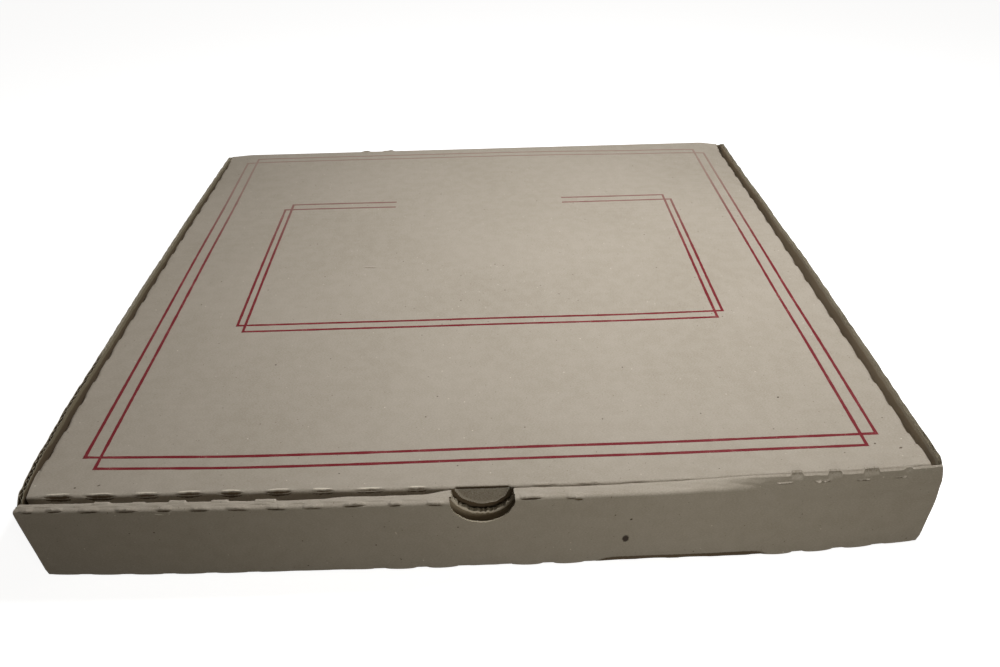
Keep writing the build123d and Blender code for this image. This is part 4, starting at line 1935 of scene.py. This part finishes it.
@dataclass
class LidSide:
    """A side fold of the lid with its cuts, and the side flap inside the wall."""

    side: Side
    flap_height: float = 28.0
    flap_front: float = 15.0
    taper: float = 12.0
    pitch: float = 15.7
    cut: float = 9.0
    margin: float = 6.0
    relief_cut: float = 0.3
    bite_depth: float = 0.9
    lip_height: float = 0.15
    step: float = 0.55

    def piece(self, finishes: Finishes) -> Object:
        """Builds the strip: panel edge, fold and flap on the lid's surface.

        At each cut a brown bite is taken out of the edge. It deepens towards the front, where it
        ends in a step.

        Args:
            finishes: The materials.

        Returns:
            The object.
        """
        t_low = PLAN.lid_front + self.flap_front
        t_high = PLAN.back_seam
        t = np.linspace(t_low, t_high, int((t_high - t_low) / self.step))
        t = np.concatenate([[PLAN.lid_front_seam, t_low - 4, t_low - self.relief_cut], t])
        arc = PLAN.fold_radius * (np.pi / 2 + LID.flap_lean)
        edge = np.array([PLAN.lid_side_seam, PLAN.lid_side_seam + 3, LID.fold_s - 0.9])
        fold = LID.fold_s + np.linspace(0, arc, 11)
        flap = fold[-1] + np.linspace(0, 1, 12)[1:] * (self.flap_height - PLAN.board - 1)
        away = np.unique(np.round(np.concatenate([edge, fold, [PLAN.lid_half], flap]), 5))
        s = away if self.side == Side.RIGHT else -away[::-1]
        grid_s, grid_t = grid_of(s, t)
        grid_away = np.abs(grid_s)
        folded = grid_t > t_low - self.relief_cut / 2
        below = np.clip(grid_away - fold[-1], 0, None)
        drift = below * np.tan(np.radians(self.taper))
        t_mid, t_half = (t_low + t_high) / 2, (t_high - t_low) / 2
        off = grid_t - t_mid
        shaped_t = grid_t - np.sign(off) * drift * (np.abs(off) / t_half) ** 16
        middle = LID.middle(grid_s, shaped_t, folded)
        normal = normals_of(middle, s, t)
        rng = np.random.default_rng(90 + self.side)
        places = row_places(t_high - t_low, self.pitch, self.margin) + t_mid
        places = places + rng.normal(0, 0.5, len(places))
        size = rng.uniform(0.6, 1.1, len(places))
        nearest = np.abs(t[:, None] - places).argmin(axis=1)
        share = (places[nearest] - t) / (self.cut / 2)
        tooth = ramp(share, -1, 0.7) * ramp(share, 1, 0.88)
        window = (tooth * size[nearest])[None, :] * folded
        centre = LID.fold_s + arc * 0.5
        lip = window * bell(grid_away - centre + 0.9, 0.25)
        groove = window * bell(grid_away - centre, 0.55)
        relief = self.lip_height * lip - self.bite_depth * groove
        outer = middle + normal * (PLAN.mid + relief)[..., None]
        inner = middle - normal * PLAN.mid
        keep = every_cell(s, t)
        centre_s = np.abs(centres(s))
        keep[centre_s > PLAN.lid_half, :3] = False
        keep[centre_s > LID.fold_s, 2] = False
        name = f"lid_side_{self.side.name.lower()}"
        torn = groove - 0.4 * lip
        slab = Slab(name, outer, inner, s, t, Flutes.ALONG_U, keep, torn=torn)
        return slab.build(finishes.sheet)


@dataclass
class LidBack:
    """The lid's back edge, rolled over the hinge line."""

    roll_cells: int = 8
    stations: int = 440
    bump_height: float = 0.8
    rows: tuple[float, ...] = (152.5, 155.0, 157.0)

    def piece(self, finishes: Finishes) -> Object:
        """Builds the strip.

        Both faces run level to the hinge line and then follow a half circle of half the board's
        thickness round the hinge axis until they meet. Left of the middle a few torn bumps stand
        up from the roll.

        Args:
            finishes: The materials.

        Returns:
            The object.
        """
        s = np.linspace(-PLAN.lid_half, PLAN.lid_half, self.stations)
        t = np.array([PLAN.back_seam, *self.rows, PLAN.hinge_y])
        grid_s, grid_t = grid_of(s, t)
        middle = LID.middle(grid_s, grid_t, False)
        up = np.array([0, 0, PLAN.mid])
        angle = np.linspace(0, np.pi / 2, self.roll_cells + 1)[1:-1]
        ring = np.stack([0 * angle, np.sin(angle), np.cos(angle)], axis=-1) * PLAN.mid
        roll = middle[:, -1:, :] + ring[None]
        under = middle[:, -1:, :] + ring[None] * np.array([1, 1, -1])
        tip = middle[:, -1:, :] + np.array([0, PLAN.mid, 0])
        bumps = ease(Ripple(95, 4, 14)(s - 32, 0 * s) - 0.2)
        bumps = ramp(s, -80, -74) * ramp(s, -46, -52) * bumps
        roll = roll + self.bump_height * bumps[:, None, None] * np.array([0, 0, 1])
        outer = np.concatenate([middle + up, roll, tip + up * 0.02], axis=1)
        inner = np.concatenate([middle - up, under, tip - up * 0.02], axis=1)
        flat = np.concatenate([t, PLAN.hinge_y + PLAN.mid * np.append(angle, np.pi / 2)])
        slab = Slab("lid_back", outer, inner, s, flat, Flutes.ALONG_U)
        return slab.build(finishes.sheet)


@dataclass(frozen=True)
class Frame:
    """One printed line rectangle: half width, front and back lines, shift and bare half gap."""

    half: float
    front: float
    back: float
    shift: float = 0.0
    bare: float = 0.0

    def runs(self) -> list[tuple[tuple[float, float], tuple[float, float]]]:
        """The straight lines of the rectangle. The back line is open in the middle if bare.

        Returns:
            Start and end of each line: front, right, left and back.
        """
        left, right = self.shift - self.half, self.shift + self.half
        front = [((left, self.front), (right, self.front))]
        sides = [((right, self.front), (right, self.back)), ((left, self.back), (left, self.front))]
        stops = [right, left]
        if self.bare:
            stops = [right, self.shift + self.bare, self.shift - self.bare, left]
        pairs = zip(stops[::2], stops[1::2])
        return front + sides + [((start, self.back), (end, self.back)) for start, end in pairs]


@dataclass
class PrintedFrame:
    """A pair of interlocked line rectangles in red ink, a thin film on the lid's surface."""

    name: str
    node: str
    frames: tuple[Frame, ...]
    line: float = 1.3
    film: float = 0.04
    step: float = 2.0
    frame_lift: float = 0.012
    side_lift: float = 0.006
    roughness: float = 0.09

    def strip(
        self, start: tuple[float, float], end: tuple[float, float], lift: float
    ) -> tuple[Array, ...]:
        """One straight line as a closed film with slightly uneven edges.

        The film is four points wide. It follows the lid's outer face, a little above it, and its
        underside is sunk into the board.

        Args:
            start: Flat place of its start, at the line's middle.
            end: Flat place of its end.
            lift: Extra height that keeps crossing lines apart.

        Returns:
            Points, faces and flat places of the faces' corners.
        """
        a, b = np.array(start), np.array(end)
        way = (b - a) / np.linalg.norm(b - a)
        side = np.array([-way[1], way[0]])
        a, b = a - way * self.line / 2, b + way * self.line / 2
        count = int(np.linalg.norm(b - a) / self.step) + 1
        share = np.linspace(0, 1, count)[:, None, None]
        run = a * (1 - share) + b * share
        across = np.array([-1, -0.4, 0.4, 1])[None, :, None] * self.line / 2
        rough = 1 + self.roughness * Ripple(81, 3, 20)(run[..., :1], run[..., 1:])
        place = run + across * rough * side
        s, t = place[..., 0], place[..., 1]
        middle = LID.middle(s, t)
        high = middle + np.array([0, 0, PLAN.mid + self.film + lift])
        low = middle + np.array([0, 0, PLAN.mid - 2 * self.film])
        points = np.concatenate([high.reshape(-1, 3), low.reshape(-1, 3)])
        total = count * 4
        ids = np.arange(total).reshape(count, 4)
        top = quads_of(ids).reshape(-1, 4)
        loop = np.concatenate([ids[:, 0], ids[-1, 1:], ids[::-1, 3][1:], ids[0, 2:0:-1]])
        after = np.roll(loop, -1)
        rim = np.stack([after, loop, loop + total, after + total], axis=1)
        faces = np.concatenate([top, top[:, ::-1] + total, rim])
        flat = np.concatenate([place.reshape(-1, 2)] * 2)
        return points, faces, flat[faces]

    def piece(self, finishes: Finishes) -> Object:
        """Builds all lines of the frame as one object.

        Args:
            finishes: The materials.

        Returns:
            The object.
        """
        points, faces, maps, offset = [], [], [], 0
        for number, outline in enumerate(self.frames):
            for side, (start, end) in enumerate(outline.runs()):
                lift = self.frame_lift * number + self.side_lift * (side % 2)
                strip_points, strip_faces, strip_map = self.strip(start, end, lift)
                points.append(strip_points)
                faces.append(strip_faces + offset)
                maps.append(strip_map)
                offset += len(strip_points)
        faces = np.concatenate(faces)
        skins = np.zeros(len(faces), int)
        points = np.concatenate(points)
        return mesh_object(self.name, points, faces, np.concatenate(maps), skins, finishes.ink)


@dataclass
class Lid:
    """The lid with its three flaps and the printed frames."""

    outer_frames: tuple[Frame, ...] = (Frame(150.25, -131.2, 142.0), Frame(144.25, -137.2, 147.5))
    inner_frames: tuple[Frame, ...] = (
        Frame(113.65, -44.4, 74.1, 0.6, 49.65),
        Frame(109.95, -49.4, 80.2, 0.6, 49.65),
    )

    def build(self, finishes: Finishes) -> None:
        """Builds every piece and lets it ride on the lid's body.

        Args:
            finishes: The materials.
        """
        board = [LidPanel().piece(finishes), LidFront().piece(finishes), LidBack().piece(finishes)]
        board += [LidSide(side).piece(finishes) for side in Side]
        prints = [
            PrintedFrame("outer_frame_ink", "outer_frame_print", self.outer_frames),
            PrintedFrame("inner_frame_ink", "inner_frame_print", self.inner_frames),
        ]
        for piece in board:
            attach(piece, "lid")
            report(piece)
        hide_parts("lid")
        for printed in prints:
            piece = printed.piece(finishes)
            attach(piece, "lid")
            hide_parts(printed.node)
            report(piece)


@dataclass(frozen=True)
class Lamp:
    """A square area lamp that faces the box: its place in metres, power in watts and colour."""

    name: str
    place: tuple[float, float, float]
    power: float
    colour: tuple[float, float, float] = (1.0, 1.0, 1.0)
    size: float = 0.12
    target: tuple[float, float, float] = (0.0, 0.0, 0.02)

    def build(self) -> None:
        """Hangs the lamp."""
        data = bpy.data.lights.new(self.name, "AREA")
        data.size, data.energy, data.color = self.size, self.power, self.colour
        lamp = new_object(self.name, data)
        lamp.location = self.place
        lamp.rotation_mode = "QUATERNION"
        way = Vector(self.target) - Vector(self.place)
        lamp.rotation_quaternion = way.to_track_quat("-Z", "Y")


@dataclass
class Studio:
    """Camera, lamps, floor and world."""

    position: tuple[float, float, float] = (0.00432, -0.35172, 0.24546)
    right: tuple[float, float, float] = (0.999426, -0.028976, -0.017574)
    down: tuple[float, float, float] = (-0.031129, -0.579915, -0.814082)
    forward: tuple[float, float, float] = (0.013397, 0.814162, -0.580484)
    lens: float = 28.62
    sensor: float = 36.0
    floor_size: float = 12.0
    floor_gap: float = 0.0001
    world_strength: float = 0.05
    lamps: tuple[Lamp, ...] = (
        Lamp("key", (0.14, 0.0, 0.42), 1.6),
        Lamp("fill", (0.11, -0.42, 0.1), 0.24, (1.0, 0.985, 0.91)),
        Lamp("rim", (-0.04, 0.3, 0.25), 0.07),
    )

    def build(self) -> None:
        """Builds the studio, with a key lamp overhead and two weak ones in front and behind."""
        self.camera()
        self.floor()
        self.world()
        for lamp in self.lamps:
            lamp.build()
        bpy.context.scene.view_settings.view_transform = "Standard"

    def camera(self) -> None:
        """Places the camera where the photograph was taken from."""
        data = bpy.data.cameras.new("camera")
        data.lens, data.sensor_width = self.lens, self.sensor
        camera = new_object("camera", data)
        up, back = ([-x for x in way] for way in (self.down, self.forward))
        axes = Matrix([self.right, up, back]).transposed()
        camera.matrix_world = Matrix.Translation(self.position) @ axes.to_4x4()
        bpy.context.scene.camera = camera

    def floor(self) -> None:
        """Adds a pale floor that keeps the box's shadow, white to the camera, clear from below."""
        material = bpy.data.materials.new("pale_floor")
        tree = empty_tree(material)
        shader = tree.add("ShaderNodeBsdfDiffuse", {"Color": srgb(100, 94, 82)})
        shown = tree.add("ShaderNodeBsdfDiffuse", {"Color": srgb(226, 226, 226)})
        glow = tree.add("ShaderNodeEmission", {"Color": (1, 1, 1, 1), "Strength": 0.9})
        both = tree.add("ShaderNodeAddShader", {0: shown.outputs[0], 1: glow.outputs[0]})
        surfaces = {0: tree.seen(), 1: shader.outputs[0], 2: both.outputs[0]}
        upper = tree.add("ShaderNodeMixShader", surfaces).outputs[0]
        under = tree.add("ShaderNodeNewGeometry").outputs["Backfacing"]
        clear = tree.add("ShaderNodeBsdfTransparent").outputs[0]
        final = tree.add("ShaderNodeMixShader", {0: under, 1: upper, 2: clear})
        tree.add("ShaderNodeOutputMaterial", {"Surface": final.outputs[0]})
        reach, level = self.floor_size / 2, -self.floor_gap
        mesh = bpy.data.meshes.new("floor")
        corners = [(x * reach, y * reach, level) for x, y in ((-1, -1), (1, -1), (1, 1), (-1, 1))]
        mesh.from_pydata(corners, [], [(0, 1, 2, 3)])
        mesh.materials.append(material)
        floor = new_object("floor", mesh)

    def world(self) -> None:
        """Lights the scene softly from all round, white to the camera."""
        world = bpy.data.worlds.new("studio_world")
        tree = empty_tree(world)
        seen = tree.seen()
        inputs = {"Value": seen, "To Min": self.world_strength, "To Max": 1.0}
        strength = tree.add("ShaderNodeMapRange", inputs).outputs[0]
        tint = tree.mix(seen, srgb(255, 240, 218), (1, 1, 1, 1))
        back = tree.add("ShaderNodeBackground", {"Color": tint, "Strength": strength})
        tree.add("ShaderNodeOutputWorld", {"Surface": back.outputs[0]})
        bpy.context.scene.world = world


def report(piece: Object) -> None:
    """Logs a finished piece with its count of triangles."""
    triangles = sum(len(face.vertices) - 2 for face in piece.data.polygons)
    LOG.info("%s: %d triangles", piece.name, triangles)


def main() -> None:
    """Builds the whole scene in order."""
    logging.basicConfig(level=logging.INFO, format="%(name)s %(message)s")
    finishes = Finishes()
    Studio().build()
    Tray().build(finishes)
    Lid().build(finishes)


if __name__ == "__main__":
    main()
